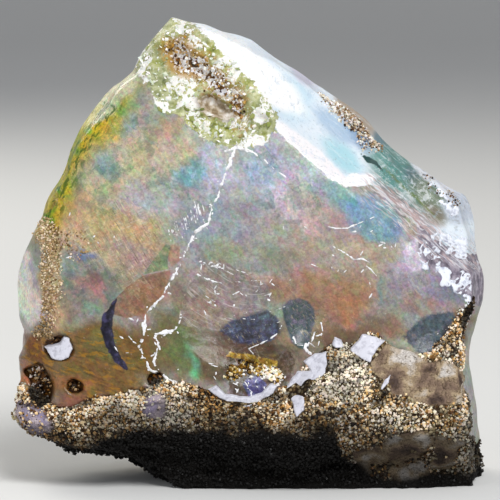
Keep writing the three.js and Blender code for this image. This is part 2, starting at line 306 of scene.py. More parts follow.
@dataclass(frozen=True)
class StoneForm:
    """The stone's surfaces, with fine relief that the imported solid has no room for.

    The sizes are the solid's own, but the crust's top line is a little lower at the left corner.
    """

    outline: Line = (
        (-8.4, 51), (-4.5, 50), (0.5, 48.2), (4.8, 45.4), (8.6, 43), (12, 40.6), (15.3, 37.4), (18.3, 35.1),
        (21.4, 33), (24.4, 30.9), (25.5, 27.5), (26, 23), (25.8, 19.5), (24.8, 15.5), (24.8, 12.5),
        (25.6, 8.5), (26, 5), (25.8, -3), (-7, -3), (-13, 2), (-20.4, 3.3), (-25, 5.8), (-26, 7.2),
        (-25.6, 9.6), (-25, 11), (-25.5, 13.5), (-24.4, 16.2), (-25, 17.6), (-25.8, 22.3), (-25, 24.6),
        (-23.7, 27.3), (-22.6, 28.8), (-21.7, 32), (-20.5, 34.5), (-19.9, 36.2), (-18.5, 38.6), (-16.8, 40.6),
        (-14.9, 43), (-12.6, 44.9), (-11.6, 47), (-10.2, 49),
    )
    face_foot: tuple[float, float] = (-9.4, 9.0)
    face_lean: float = 0.15
    face_crest: float = 2.0
    face_radius: float = 140.0
    shoulder_edge: Line = (
        (-7.6, 51), (-4.6, 47.9), (-1.7, 45.7), (0.3, 43.2), (3.1, 39.1), (5, 37.1), (9.2, 33.5),
        (10.8, 32.7), (13.8, 32.7), (16.9, 30.2), (21.4, 26.2), (26, 24.4),
    )
    shoulder_slope: float = 1.15
    corner_edge: Line = ((20.2, 24.0), (24.4, 20.2))
    corner_slope: float = 0.75
    patch_outline: Line = (
        (-14, 47), (-10.7, 43.2), (-9.6, 40.8), (-7.6, 40.6), (-5.8, 38.7), (-3.5, 37.3), (-0.8, 36.9),
        (1.7, 37.3), (3.1, 38.7), (3.3, 40.8), (0.3, 44.5), (-4.6, 49), (-8, 53),
    )
    patch_slope: float = 0.42
    rim_width: float = 5.5
    rim_drop: float = 3.4
    rim_full_x: float = -13.0
    rim_start_x: float = -5.0
    flake_edge: Line = (
        (-24.4, 29.5), (-22.7, 26.5), (-22.2, 24.4), (-22.7, 21.3), (-23.3, 18.2), (-25.5, 15.8),
    )
    flake_slope: float = 0.9
    great_shell: Bowl = Bowl(-2.1, 18.7, 5.4, 5.6, 1.3)
    teal_oval: Bowl = Bowl(6.3, 18.3, 2.1, 2.8, 0.8, -12)
    bowls: tuple[Bowl, ...] = (
        Bowl(2, 13.4, 4.6, 2.4, 1, 4),
        Bowl(19.4, 17.6, 2.8, 3.4, 0.7, 35),
        Bowl(9, 38.5, 8.5, 3.4, 0.9, -42),
        Bowl(22.3, 31.2, 4, 2.6, -1.3, -38),
    )
    rock_top: Line = (
        (-26, 10.8), (-24.2, 10.0), (-22.3, 9.0), (-20.7, 8.4), (-19, 8.6), (-17.4, 9.6), (-13.5, 10.4),
        (-9.1, 11.5), (-6.9, 11.2), (-4.6, 10.4), (-2.4, 9.6), (0, 9.3), (2.5, 9.8), (4.8, 10.9), (7, 13.8),
        (9.7, 16.2), (11, 15.7), (13.5, 16.7), (15.3, 16), (18.6, 13.9), (20.2, 14.3), (22.4, 17),
        (24.7, 19.8), (26.2, 20.8),
    )
    brow_z: Line = ((-26, 8), (-20, 6.6), (-12, 6.8), (-4, 6), (4, 5.6), (12, 6.2), (20, 6.8), (26, 6.4))
    brow_y: Line = (
        (-26, -8.6), (-21, -11.6), (-14, -12.8), (-6, -13.2), (1, -13.5), (8, -14), (16, -13.9), (23, -12.8),
        (26, -11.4),
    )
    # Painted shade under the brow: full below shade_top, and dimmed by the share dim below dim_top.
    shade_top: Line = (
        (-26, 5.4), (-19, 5.6), (-14, 7.2), (-9, 8.0), (-4, 8.0), (2, 7.8), (9.5, 7.4), (11, 3.4), (16, 2.6),
        (22, 2.2), (26, 2),
    )
    dim_top: Line = (
        (-26, 6.6), (-19, 7.0), (-14, 9.2), (-9, 9.8), (-4, 9.0), (2, 8.6), (8, 8.6), (13, 8.4), (20, 8.2),
        (26, 7.2),
    )
    rock_rise: float = 1.4
    undercut: float = 0.74
    undercut_power: float = 1.2
    back_faces: tuple[BackFace, ...] = (
        BackFace(13.6, -0.03, -0.05),
        BackFace(17.4, 0.62, -0.02),
        BackFace(20.6, -0.56, 0.02),
        BackFace(28.6, 0.05, -0.45),
        BackFace(7.6, 0.02, 0.95),
    )
    back_blend: float = 1.6
    back_scoops: tuple[Bowl, ...] = (
        Bowl(-12, 30, 8.5, 10, 1.5, 20),
        Bowl(9, 27, 8, 7, 1.3, -30),
        Bowl(3, 12, 7, 5, 0.9, 10),
    )
    side_taper: float = 0.2
    foot_start_x: float = -7.0
    foot_slope: float = 0.22
    lumps: tuple[tuple[float, float], ...] = ((0.85, 5.2), (0.4, 2.3))
    chips: tuple[float, float] = (0.55, 4.2)
    waves: tuple[float, float] = (0.16, 7.5)

    # Fine relief of the front: pits, open cracks, conchoidal ripples and crushed areas.
    pits: tuple[Bowl, ...] = (
        Bowl(-20.6, 15.0, 1.75, 1.5, 1.3, 10, 0.5),
        Bowl(-22.8, 10.9, 1.45, 2.4, 1.8, 20, 0.6),
        Bowl(-18.7, 10.8, 1.0, 0.8, 1.0, 0, 0.6),
        Bowl(-10.0, 11.9, 1.0, 0.7, 0.9, 15, 0.6),
        Bowl(-3.3, 41.3, 1.95, 1.0, 1.3, -22, 0.7),
        Bowl(24.2, 17.9, 0.8, 1.2, 0.9, 0, 0.6),
    )
    apex_vug: Line = (
        (-7.4, 47.7), (-6.3, 46.3), (-5.2, 45.4), (-3.5, 44.0), (-2.1, 42.9), (-1.0, 41.8), (-0.8, 40.7),
    )
    crescent: Stroke = (
        (-14.2, 20.7, 0.04), (-14.8, 19.5, 0.34), (-15.3, 18.3, 0.6), (-15.4, 17.0, 0.7), (-15.0, 15.4, 0.5),
        (-14.2, 14.0, 0.48), (-13.2, 12.9, 0.2),
    )
    nick: Stroke = ((12.7, 35.9, 0.1), (13.4, 35.3, 0.3), (14.2, 35.0, 0.22), (15.0, 34.2, 0.05))
    pit_rag: float = 0.55
    patch_crumb: float = 0.9
    shell_ripple: tuple[float, float] = (0.015, 1.15)
    shell_source: tuple[float, float] = (-1, 6)
    face_ripple: tuple[float, float] = (0.022, 2.1)
    ripple_source: tuple[float, float] = (11, 52)
    ledge_step: tuple[float, float] = (0.12, 0.62)
    ledge_start_x: float = 11.5
    dim: float = 0.72

    def inset(self, x: Array, z: Array) -> Array:
        """Gives how deep each place is inside the stone's outline."""
        return depth_inside(self.outline, x, z)

    def big_face(self, x: Array, z: Array) -> Array:
        """Gives the y of the big domed face."""
        foot_y, foot_z = self.face_foot
        return foot_y + self.face_lean * (z - foot_z) + (x - self.face_crest) ** 2 / (2 * self.face_radius)

    def shoulder(self, x: Array, z: Array) -> Array:
        """Gives the signed distance onto the bevel of the right shoulder."""
        return signed_above(self.shoulder_edge, x, z)

    def corner(self, x: Array, z: Array) -> Array:
        """Gives the signed distance past the flaked corner's straight edge.

        Args:
            x: Places along x.
            z: Places along z.

        Returns:
            The distance at each place.
        """
        (ax, az), (bx, bz) = self.corner_edge
        dx, dz = bx - ax, bz - az
        return (dx * (z - az) - dz * (x - ax)) / math.hypot(dx, dz)

    def patch(self, x: Array, z: Array) -> Array:
        """Gives how deep each place is inside the crumbled patch at the apex."""
        return depth_inside(self.patch_outline, x, z)

    def opal_front(self, x: Array, z: Array) -> Array:
        """Gives the y of the opal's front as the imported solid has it.

        Args:
            x: Places along x.
            z: Places along z.

        Returns:
            The y at each place.
        """
        shoulder = self.shoulder_slope * np.maximum(0, self.shoulder(x, z))
        corner = self.corner_slope * np.maximum(0, self.corner(x, z))
        patch = self.patch_slope * np.maximum(0, self.patch(x, z))
        turned = [(point[1], point[0]) for point in reversed(self.flake_edge)]
        left = x < along(turned, z)
        flake = np.where(left, self.flake_slope * line_distance(self.flake_edge, x, z), 0)
        to_rim = np.clip((self.rim_width - self.inset(x, z)) / self.rim_width, 0, 1)
        rim = self.rim_drop * to_rim**2 * (1 - smooth_step(x, self.rim_full_x, self.rim_start_x))
        bowls = sum(bowl.at(x, z) for bowl in (self.great_shell, self.teal_oval, *self.bowls))
        return self.big_face(x, z) + np.maximum(shoulder, corner) + patch + flake + rim + bowls

    def pit_reach(self, x: Array, z: Array) -> Array:
        """Gives, for each pit, 1 at its middle, 0 at its ragged rim and negative numbers outside."""
        ragged = self.pit_rag * layered_noise(x, z, 1.2, 3, 61.5)
        return np.stack([pit.reach(x, z) + ragged for pit in self.pits])

    def front_inset(self, x: Array, z: Array) -> Array:
        """Gives how deep each place of the opal's front is inside the broken side walls.

        Args:
            x: Places along x.
            z: Places along z.

        Returns:
            The depth at each place.
        """
        front = self.opal_front(x, z)
        height, size = self.chips
        chips = height * noise(x / size, front / size, z / size)
        return self.inset(x, z) + chips - self.side_taper * (self.back(x, z) - front) / 2

    def vug_distance(self, x: Array, z: Array) -> Array:
        """Gives the distance from the rusty vug's ragged line."""
        return line_distance(self.apex_vug, x, z) + 1.1 * layered_noise(x, z, 2.0, 3, 9.5)

    def fine_front(self, x: Array, z: Array) -> Array:
        """Gives the fine relief that goes on top of the opal's front.

        Args:
            x: Places along x.
            z: Places along z.

        Returns:
            How much deeper than the plain front each place is.
        """
        reach = self.pit_reach(x, z)
        relief = sum(pit.depth * np.maximum(0, own) ** pit.power for pit, own in zip(self.pits, reach))
        crumble, tint = cell_noise(x, z, self.patch_crumb, 31)
        patch = smooth_step(self.patch(x, z), 0.0, 0.7)
        relief += patch * (0.28 * crumble + 0.22 * tint + 0.12 * layered_noise(x, z, 0.8, 2, 5.5))
        vug = smooth_step(self.vug_distance(x, z), 1.7, 0.2)
        relief += 0.75 * vug * (0.6 + 0.5 * layered_noise(x, z, 0.7, 2, 3.5))
        relief += 0.14 * smooth_step(stroke_depth(self.crescent, x, z), -0.1, 0.35)
        shell = self.great_shell
        (height, length), (dx, dz) = self.shell_ripple, self.shell_source
        ripple = np.sin(2 * math.pi * np.hypot(x - shell.x - dx, z - shell.z - dz) / length)
        relief += height * ripple * smooth_step(shell.reach(x, z), 0.0, 0.25)
        (height, length), (from_x, from_z) = self.face_ripple, self.ripple_source
        ripple = np.sin(2 * math.pi * np.hypot(x - from_x, z - from_z) / length)
        relief += height * ripple * smooth_step(z, 10, 26)
        height, length = self.ledge_step
        past = self.shoulder(x, z)
        steps = np.sin(2 * math.pi * past / length + layered_noise(x, z, 2.5, 2, 7.5))
        ledge = smooth_step(x, self.ledge_start_x, 15) * (1 - smooth_step(np.abs(past + 0.5), 1.0, 1.9))
        relief += height * steps * ledge
        return relief

    def skin_front(self, x: Array, z: Array) -> Array:
        """Gives the y of the opal's front with all its relief.

        Args:
            x: Places along x.
            z: Places along z.

        Returns:
            The y at each place.
        """
        front = self.opal_front(x, z)
        height, size = self.waves
        return front + height * noise(x / size, front / size, z / size) + self.fine_front(x, z)

    def rock_front(self, x: Array, z: Array) -> Array:
        """Gives the y of the host rock's front.

        Args:
            x: Places along x.
            z: Places along z.

        Returns:
            The y at each place.
        """
        top, brow_z, brow_y = along(self.rock_top, x), along(self.brow_z, x), along(self.brow_y, x)
        below = brow_y + self.undercut * np.maximum(brow_z - z, 0) ** self.undercut_power
        share = np.maximum(z - brow_z, 0) / (top - brow_z)
        above = brow_y + (self.big_face(x, top) - brow_y) * share**self.rock_rise
        return np.where(z < brow_z, below, above)

    def back(self, x: Array, z: Array) -> Array:
        """Gives the y of the back's broken faces.

        Args:
            x: Places along x.
            z: Places along z.

        Returns:
            The y at each place.
        """
        faces = np.stack([face.at + face.along_x * x + face.along_z * z for face in self.back_faces])
        least = faces.min(axis=0)
        softened = least - self.back_blend * np.log(np.exp((least - faces) / self.back_blend).sum(axis=0))
        return softened - sum(scoop.at(x, z) for scoop in self.back_scoops)

    def shade(self, x: Array, z: Array) -> Array:
        """Gives how deep each place is in the painted shade under the brow, from 0 to 1.

        Args:
            x: Places along x.
            z: Places along z.

        Returns:
            The number at each place.
        """
        ragged = layered_noise(x, z, 3.0, 3, 25.5)
        deep = smooth_step(along(self.shade_top, x) + 1.3 * ragged - z, -1.2, 1.6)
        dim = smooth_step(along(self.dim_top, x) + 1.5 * ragged - z, -0.6, 1.6)
        return np.maximum(deep, self.dim * dim)

    def foot(self, x: Array) -> Array:
        """Gives the z of the underside, which is flat where the stone rests."""
        return np.maximum(0, self.foot_slope * (self.foot_start_x - x))


# Meshes


@dataclass
class Skin:
    """A closed mesh in millimetres, with numbers kept at its vertices."""

    vertices: Array
    faces: Array
    marks: dict[str, Array] = field(default_factory=dict)

    def normals(self) -> Array:
        """Gives each vertex's normal.

        Returns:
            The normals, one to a row.
        """
        corners = self.vertices[self.faces]
        flat = np.cross(corners[:, 2] - corners[:, 0], corners[:, -1] - corners[:, 1])
        summed = np.zeros_like(self.vertices)
        for column in self.faces.T:
            np.add.at(summed, column, flat)
        return summed / np.maximum(np.linalg.norm(summed, axis=1, keepdims=True), 1e-9)


def joined(skins: Sequence[Skin]) -> Skin:
    """Puts several closed meshes into one, keeping the marks that all of them have.

    Args:
        skins: The meshes.

    Returns:
        One mesh.
    """
    starts = np.cumsum([0] + [len(skin.vertices) for skin in skins[:-1]])
    names = set.intersection(*(set(skin.marks) for skin in skins))
    return Skin(
        np.concatenate([skin.vertices for skin in skins]),
        np.concatenate([skin.faces + start for skin, start in zip(skins, starts)]),
        {name: np.concatenate([skin.marks[name] for skin in skins]) for name in sorted(names)},
    )


CELL_CORNERS = np.array([[n & 1, (n >> 1) & 1, n >> 2] for n in range(8)])
CELL_EDGES = [(a, a | step) for a in range(8) for step in (1, 2, 4) if not a & step]


def surface_net(values: Array, low: Array, cell: float) -> Skin:
    """Skins the surface where a grid of values passes from below 0 to above it.

    Args:
        values: The field at each grid point.
        low: The grid's lowest corner.
        cell: The grid's step.

    Returns:
        A mesh with one vertex in each cell that the surface crosses.
    """
    inside = values < 0
    ends = (slice(0, -1), slice(1, None))
    counts = sum(inside[a, b, c].astype(np.int8) for a in ends for b in ends for c in ends)
    cells = np.argwhere((counts > 0) & (counts < 8))
    own = np.stack([values[tuple((cells + corner).T)] for corner in CELL_CORNERS], axis=1)
    total = np.zeros((len(cells), 3))
    crossings = np.zeros((len(cells), 1))
    for a, b in CELL_EDGES:
        crossed = ((own[:, a] < 0) != (own[:, b] < 0))[:, None]
        t = own[:, a, None] / np.where(crossed, (own[:, a] - own[:, b])[:, None], 1)
        total += np.where(crossed, CELL_CORNERS[a] + t * (CELL_CORNERS[b] - CELL_CORNERS[a]), 0)
        crossings += crossed
    vertices = low + cell * (cells + total / crossings)
    index = np.full(counts.shape, -1)
    index[tuple(cells.T)] = np.arange(len(cells))
    faces = []
    for axis in range(3):
        step_u, step_v = (np.eye(3, dtype=int)[(axis + turn) % 3] for turn in (1, 2))
        first = np.take(inside, range(inside.shape[axis] - 1), axis)
        second = np.take(inside, range(1, inside.shape[axis]), axis)
        for leaving in (True, False):
            places = np.argwhere(first & ~second if leaving else ~first & second)
            ring = [places, places - step_u, places - step_u - step_v, places - step_v]
            if not leaving:
                ring.reverse()
            faces.append(np.stack([index[tuple(place.T)] for place in ring], axis=1))
    return Skin(vertices, np.concatenate(faces))


@dataclass
class Bench:
    """Lays meshes into the scene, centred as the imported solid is."""

    centre: tuple[float, float]

    def lay(
        self, name: str, skin: Skin, material: bpy.types.Material, slot: Slot, smooth: bool = True
    ) -> bpy.types.Object:
        """Makes a Blender object from a mesh in millimetres.

        Args:
            name: The piece's name.
            skin: The mesh, its faces all with the same number of corners.
            material: The piece's finish.
            slot: The record's material slot for the piece; not used.
            smooth: Whether the mesh is shaded smooth.

        Returns:
            The piece, riding on the stone's body.
        """
        mesh = bpy.data.meshes.new(name)
        corners = skin.faces.shape[1]
        places = (skin.vertices - [*self.centre, 0]) * MM
        mesh.vertices.add(len(places))
        mesh.vertices.foreach_set("co", places.astype(np.float32).ravel())
        mesh.loops.add(skin.faces.size)
        mesh.loops.foreach_set("vertex_index", skin.faces.astype(np.int32).ravel())
        mesh.polygons.add(len(skin.faces))
        mesh.polygons.foreach_set("loop_start", np.arange(0, skin.faces.size, corners, dtype=np.int32))
        mesh.polygons.foreach_set("use_smooth", np.full(len(skin.faces), smooth))
        for mark, values in skin.marks.items():
            if values.ndim == 2:
                layer = mesh.attributes.new(mark, "FLOAT_COLOR", "POINT")
                opaque = np.column_stack([values, np.ones(len(values))])
                layer.data.foreach_set("color", opaque.astype(np.float32).ravel())
            else:
                layer = mesh.attributes.new(mark, "FLOAT", "POINT")
                layer.data.foreach_set("value", values.astype(np.float32))
        mesh.update(calc_edges=True)
        mesh.validate()
        mesh.materials.append(material)
        piece = bpy.data.objects.new(name, mesh)
        bpy.context.scene.collection.objects.link(piece)
        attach(piece, BODY)
        log.info("%s: %d faces", name, len(skin.faces))
        return piece


@dataclass
class StoneFields:
    """The opal and the host rock as fields on one grid, from which both are skinned."""

    form: StoneForm
    cell: float
    lowest: tuple[float, float, float] = (-26.9, -15.2, 0.0)
    highest: tuple[float, float, float] = (26.9, 15.2, 51.2)
    margin: float = 1.2
    window: Bowl = Bowl(-6, 33, 9, 7, 1, 20)
    crust_depth: float = 1.0
    crust_rise: float = 0.6
    overlap: float = 0.4
    rock_proud: float = -0.1
    foot_rock: float = 4.4
    rind: float = 0.9
    rind_edge: float = 0.6
    back_recess: float = 0.1
    back_lumps: float = 0.6

    def __post_init__(self) -> None:
        """Samples the front view's surfaces and the noise."""
        form = self.form
        self.low = np.array(self.lowest) - self.margin
        high = np.array(self.highest) + self.margin
        self.axes = [np.arange(a, b + self.cell, self.cell) for a, b in zip(self.low, high)]
        xs, ys, zs = self.axes
        x, z = np.meshgrid(xs, zs, indexing="ij")
        self.y = ys[None, :, None].astype(np.float32)
        self.z = zs[None, None, :].astype(np.float32)
        self.inset = self.flat(form.inset(x, z))
        self.opal_front = self.flat(form.opal_front(x, z))
        self.fine = self.flat(form.fine_front(x, z))
        self.rock_front = self.flat(form.rock_front(x, z))
        self.back = self.flat(form.back(x, z))
        self.rock_top = self.flat(along(form.rock_top, x))
        self.foot = form.foot(xs)[:, None, None].astype(np.float32)
        window = layered_noise(x, z, 9.0, 3, 2.5) + 0.55 - 1.1 * self.window.at(x, z)
        window -= 2 * smooth_step(form.inset(x, z), 2.6, 1.4) * smooth_step(z, 10, 14)
        depth = np.minimum(2.2 * window, 1) * self.rind
        self.rind_depth = self.flat(np.where(window > 0, depth, -self.rind_edge))
        self.foot_top = self.flat(self.foot_rock + 0.9 * layered_noise(x, z, 3.5, 2, 4.5))
        (tall, wide), (low_height, narrow) = form.lumps
        self.lumps = tall * grid_noise(self.axes, wide) + low_height * grid_noise(self.axes, narrow)
        self.chips = form.chips[0] * grid_noise(self.axes, form.chips[1])
        self.waves = form.waves[0] * grid_noise(self.axes, form.waves[1])
        self.crumbs = 0.24 * grid_noise(self.axes, 0.95) + 0.14 * grid_noise(self.axes, 0.62)
        self.crumbs += 0.42 * grid_noise(self.axes, 3.4, 2.0, 0.9)

    @staticmethod
    def flat(values: Array) -> Array:
        """Spreads values on the front view along y."""
        return values[:, None, :].astype(np.float32)

    def side(self) -> Array:
        """Gives the broken side walls as a field.

        Returns:
            The field, below 0 inside them.
        """
        front = np.minimum(self.opal_front + self.waves, self.rock_front - self.lumps)
        middle = (front + self.back + self.lumps) / 2
        return -self.inset - self.chips + self.form.side_taper * np.abs(self.y - middle)

    def rock_region(self) -> Array:
        """Gives the part of the stone that is host rock: the crust, the foot and the rind on the back.

        Returns:
            The field, below 0 inside it.
        """
        deep = self.y - self.opal_front - self.crust_depth
        crust = np.maximum(self.rock_front - self.lumps - self.y, deep)
        crust = np.maximum(crust, self.z - self.rock_top - self.crust_rise)
        rind = self.back + self.lumps - self.rind_depth - self.y
        return np.minimum(np.minimum(crust, rind), self.z - self.foot_top)

    def opal(self) -> Array:
        """Gives the opal's field.

        Returns:
            The field, below 0 inside it.
        """
        front = self.opal_front + self.waves + self.fine - self.y
        back = self.y - self.back - self.back_lumps * self.lumps + self.back_recess
        shape = np.maximum(np.maximum(front, back), np.maximum(self.side(), self.foot - self.z))
        return np.maximum(shape, -self.rock_region() - self.overlap)

    def rock(self) -> Array:
        """Gives the host rock's field.

        Returns:
            The field, below 0 inside it.
        """
        front = np.minimum(self.opal_front + self.waves, self.rock_front - self.lumps)
        ends = np.maximum(front - self.y, self.y - self.back - self.lumps)
        shape = np.maximum(ends, self.side()) - self.crumbs - self.rock_proud
        return np.maximum(np.maximum(shape, self.foot - self.z), self.rock_region())

    def skin(self, values: Array) -> Skin:
        """Skins the surface where one of the fields passes 0."""
        return surface_net(values, self.low, self.cell)

    def sample(self, grid: Array, points: Array) -> Array:
        """Reads a grid at scattered points, blending its eight nearest values.

        Args:
            grid: The values on the grid.
            points: The points, one to a row.

        Returns:
            The value at each point.
        """
        place = (points - self.low) / self.cell
        base = np.clip(np.floor(place).astype(int), 0, np.array(grid.shape) - 2)
        t = place - base
        total = np.zeros(len(points))
        for corner in CELL_CORNERS:
            share = np.where(corner, t, 1 - t).prod(axis=1)
            total += share * grid[tuple((base + corner).T)]
        return total


# Node trees


def hex_colour(code: str) -> Array:
    """Turns a colour such as c8a25f into the linear values that shaders use."""
    parts = np.array([int(code[i : i + 2], 16) for i in (0, 2, 4)]) / 255
    return np.where(parts <= 0.04045, parts / 12.92, ((parts + 0.055) / 1.055) ** 2.4)


Socket = bpy.types.NodeSocket
Stops = tuple[tuple[float, str], ...]


class Graph:
    """Adds nodes to a node tree in few words. A value may be a number, a colour or a node's output."""

    def __init__(self, tree: bpy.types.NodeTree) -> None:
        """Starts on an emptied tree."""
        self.tree = tree
        tree.nodes.clear()

    def node(
        self, kind: str, values: dict[str | int, object] | None = None, **settings: object
    ) -> bpy.types.Node:
        """Adds one node.

        Args:
            kind: The node's type, without the word ShaderNode that most start with.
            values: What goes into its inputs, by name or number.
            settings: The node's own settings.

        Returns:
            The node.
        """
        made = self.tree.nodes.new(kind if kind.startswith("Node") else "ShaderNode" + kind)
        for name, setting in settings.items():
            setattr(made, name, setting)
        for key, value in (values or {}).items():
            self.put(made.inputs[key], value)
        return made

    def put(self, socket: Socket, value: object) -> None:
        """Links or sets one input.

        Args:
            socket: The input.
            value: A number, a vector, a colour code or another node's output.
        """
        if isinstance(value, Socket):
            self.tree.links.new(value, socket)
        elif isinstance(value, str):
            socket.default_value = (*hex_colour(value), 1.0)
        else:
            socket.default_value = value

    def math(self, operation: str, *values: object) -> Socket:
        """Adds a Math node and gives its result."""
        return self.node("Math", dict(enumerate(values)), operation=operation).outputs[0]

    def times(self, first: object, *others: object) -> Socket:
        """Multiplies numbers."""
        return reduce(lambda product, other: self.math("MULTIPLY", product, other), others, first)

    def vector(self, operation: str, *values: object) -> Socket:
        """Adds a Vector Math node and gives its vector."""
        return self.node("VectorMath", dict(enumerate(values)), operation=operation).outputs["Vector"]

    def scaled(self, vector: object, factor: object) -> Socket:
        """Multiplies a vector or a colour by a number."""
        return self.node("VectorMath", {0: vector, "Scale": factor}, operation="SCALE").outputs["Vector"]

    def centred(self, noise: Socket, reach: object) -> Socket:
        """Turns three channels of noise into shifts to both sides of 0."""
        return self.scaled(self.vector("SUBTRACT", noise, (0.5, 0.5, 0.5)), reach)

    def tinting(self, noise: Socket, strength: object) -> Socket:
        """Turns three channels of noise into tints to multiply a colour by."""
        return self.vector("ADD", self.centred(noise, strength), (1.0, 1.0, 1.0))

    def mix(self, share: object, first: object, second: object, blend: str = "MIX") -> Socket:
        """Mixes two colours."""
        values = dict(zip(MIXED_COLOURS, (share, first, second)))
        return self.node("Mix", values, data_type="RGBA", blend_type=blend).outputs[2]

    def mix_numbers(self, share: object, first: object, second: object) -> Socket:
        """Mixes two numbers."""
        return self.node("Mix", dict(zip(MIXED_NUMBERS, (share, first, second)))).outputs[0]

    def noise(self, place: object, scale: object, detail: float = 3, rough: float = 0.5) -> bpy.types.Node:
        """Adds a Noise Texture, its scale counted in swells to a millimetre."""
        return self.node("TexNoise", {"Vector": place, "Scale": scale, "Detail": detail, "Roughness": rough})

    def swell(self, place: object, scale: float, detail: float = 3, rough: float = 0.5) -> Socket:
        """Gives noise from 0 to 1."""
        return self.noise(place, scale, detail, rough).outputs["Fac"]

    def cells(self, place: object, scale: object) -> bpy.types.Node:
        """Adds a Voronoi Texture, its scale counted in cells to a millimetre."""
        return self.node("TexVoronoi", {"Vector": place, "Scale": scale})

    def chance(self, cells: bpy.types.Node) -> Socket:
        """Gives each cell's random number from 0 to 1."""
        return self.node("SeparateColor", {"Color": cells.outputs["Color"]}).outputs["Red"]

    def step(self, value: object, low: object, high: object, start: float = 0, end: float = 1) -> Socket:
        """Goes smoothly from start, where the value is at low, to end, where it is at high."""
        values = {"Value": value, "From Min": low, "From Max": high, "To Min": start, "To Max": end}
        return self.node("MapRange", values, interpolation_type="SMOOTHSTEP").outputs["Result"]

    def ramp(self, value: object, stops: Stops) -> Socket:
        """Turns a value into a colour.

        Args:
            value: A number from 0 to 1.
            stops: The colours along it.

        Returns:
            The colour.
        """
        made = self.node("ValToRGB", {"Fac": value})
        elements = made.color_ramp.elements
        while len(elements) < len(stops):
            elements.new(1.0)
        for element, (place, code) in zip(elements, stops):
            element.position = place
            element.color = (*hex_colour(code), 1.0)
        return made.outputs["Color"]

    def mark(self, name: str) -> Socket:
        """Reads a number kept at the mesh's vertices."""
        return self.node("Attribute", attribute_name=name).outputs["Fac"]

    def tint(self, name: str) -> Socket:
        """Reads a colour kept at the mesh's vertices."""
        return self.node("Attribute", attribute_name=name).outputs["Color"]

    def ragged(self, mark: str, swell: Socket, reach: float) -> Socket:
        """Moves a mark up and down by noise, so that the borders drawn by it are ragged."""
        return self.math("MULTIPLY_ADD", swell, reach, self.math("SUBTRACT", self.mark(mark), reach / 2))

    def wander(self, place: object, scale: float, reach: float) -> Socket:
        """Moves a place about by noise, so that what is drawn there has ragged borders."""
        return self.vector("ADD", place, self.centred(self.noise(place, scale).outputs["Color"], reach))

    def group(self, tree: bpy.types.NodeTree, values: dict[str, object]) -> bpy.types.Node:
        """Places a node group with its own values."""
        return self.node("Group", values, node_tree=tree)

    def turned(self, given: dict[str, Socket]) -> Socket:
        """Turns and stretches the place that a group is given."""
        values = {"Vector": given["Place"], "Rotation": given["Turn"], "Scale": given["Stretch"]}
        return self.node("Mapping", values, vector_type="TEXTURE").outputs["Vector"]

    def bump(self, height: Socket, distance: float, strength: float = 0.6) -> Socket:
        """Gives the normals of fine relief."""
        values = {"Height": height, "Distance": distance, "Strength": strength}
        return self.node("Bump", values).outputs["Normal"]


class Socketed(Enum):
    """The kinds of socket that node groups have."""

    NUMBER = "NodeSocketFloat"
    VECTOR = "NodeSocketVector"
    COLOUR = "NodeSocketColor"


# A Mix node's inputs for its share and for two colours or two numbers.
MIXED_COLOURS = (0, 6, 7)
MIXED_NUMBERS = (0, 2, 3)
TURNED = {"Place": Socketed.VECTOR, "Turn": Socketed.VECTOR, "Stretch": Socketed.VECTOR}


def turned_by(turn: float, length: float, width: float) -> dict[str, object]:
    """Gives a group's values for marks of a length and width, at a turn in degrees on the front view."""
    return {"Turn": (0.0, -math.radians(turn), 0.0), "Stretch": (length, length, width)}


def new_group(
    name: str, takes: dict[str, Socketed], gives: dict[str, Socketed]
) -> tuple[bpy.types.NodeTree, Graph, dict[str, Socket], bpy.types.Node]:
    """Starts a node group.

    Args:
        name: The group's name.
        takes: Its inputs.
        gives: Its outputs.

    Returns:
        The group, a graph on it, its inputs' sockets inside, and its output node.
    """
    tree = bpy.data.node_groups.new(name, "ShaderNodeTree")
    graph = Graph(tree)
    for direction, sockets in (("INPUT", takes), ("OUTPUT", gives)):
        for socket, kind in sockets.items():
            tree.interface.new_socket(name=socket, in_out=direction, socket_type=kind.value)
    start = graph.node("NodeGroupInput")
    end = graph.node("NodeGroupOutput")
    return tree, graph, {socket: start.outputs[socket] for socket in takes}, end


@dataclass(frozen=True)
class Cloud:
    """A soft patch of colour on the front view. Its core is the share of it that has the full colour."""

    x: float
    z: float
    half_x: float
    half_z: float
    colour: str
    strength: float = 0.75
    turn: float = 0.0
    core: float = 0.35

    def share(self, x: Array, z: Array) -> Array:
        """Gives the patch's share of the colour at each place."""
        away = np.sqrt(1 - Bowl(self.x, self.z, self.half_x, self.half_z, 1, self.turn).reach(x, z))
        return self.strength * smooth_step(away, 1.0, self.core)


def lay_clouds(base: str, clouds: dict[str, Cloud], x: Array, z: Array) -> Array:
    """Lays patches of colour over a base colour.

    Args:
        base: The colour under them.
        clouds: The patches by name, the lowest first.
        x: Places along x.
        z: Places along z.

    Returns:
        The linear colour at each place.
    """
    colour = np.tile(hex_colour(base), (len(x), 1))
    for cloud in clouds.values():
        colour += cloud.share(x, z)[:, None] * (hex_colour(cloud.colour) - colour)
    return colour


def brushed(x: Array, z: Array, turn: float, reach: float, seed: float) -> tuple[Array, Array]:
    """Moves places about, mostly along one direction, so that clouds drawn there look brushed that way.

    Args:
        x: Places along x.
        z: Places along z.
        turn: The direction in degrees from the x axis.
        reach: How far they move.
        seed: Picks one of many patterns.

    Returns:
        The moved places.
    """
    cosine, sine = math.cos(math.radians(turn)), math.sin(math.radians(turn))
    u, v = x * cosine + z * sine, z * cosine - x * sine
    fine, wide = layered_noise(0.3 * u, v, 1.1, 3, seed), layered_noise(u, v, 4.5, 2, seed + 5)
    moved_u = u + reach * fine + reach * wide
    moved_v = v + 0.4 * reach * layered_noise(u, v, 1.4, 3, seed + 10)
    return moved_u * cosine - moved_v * sine, moved_u * sine + moved_v * cosine


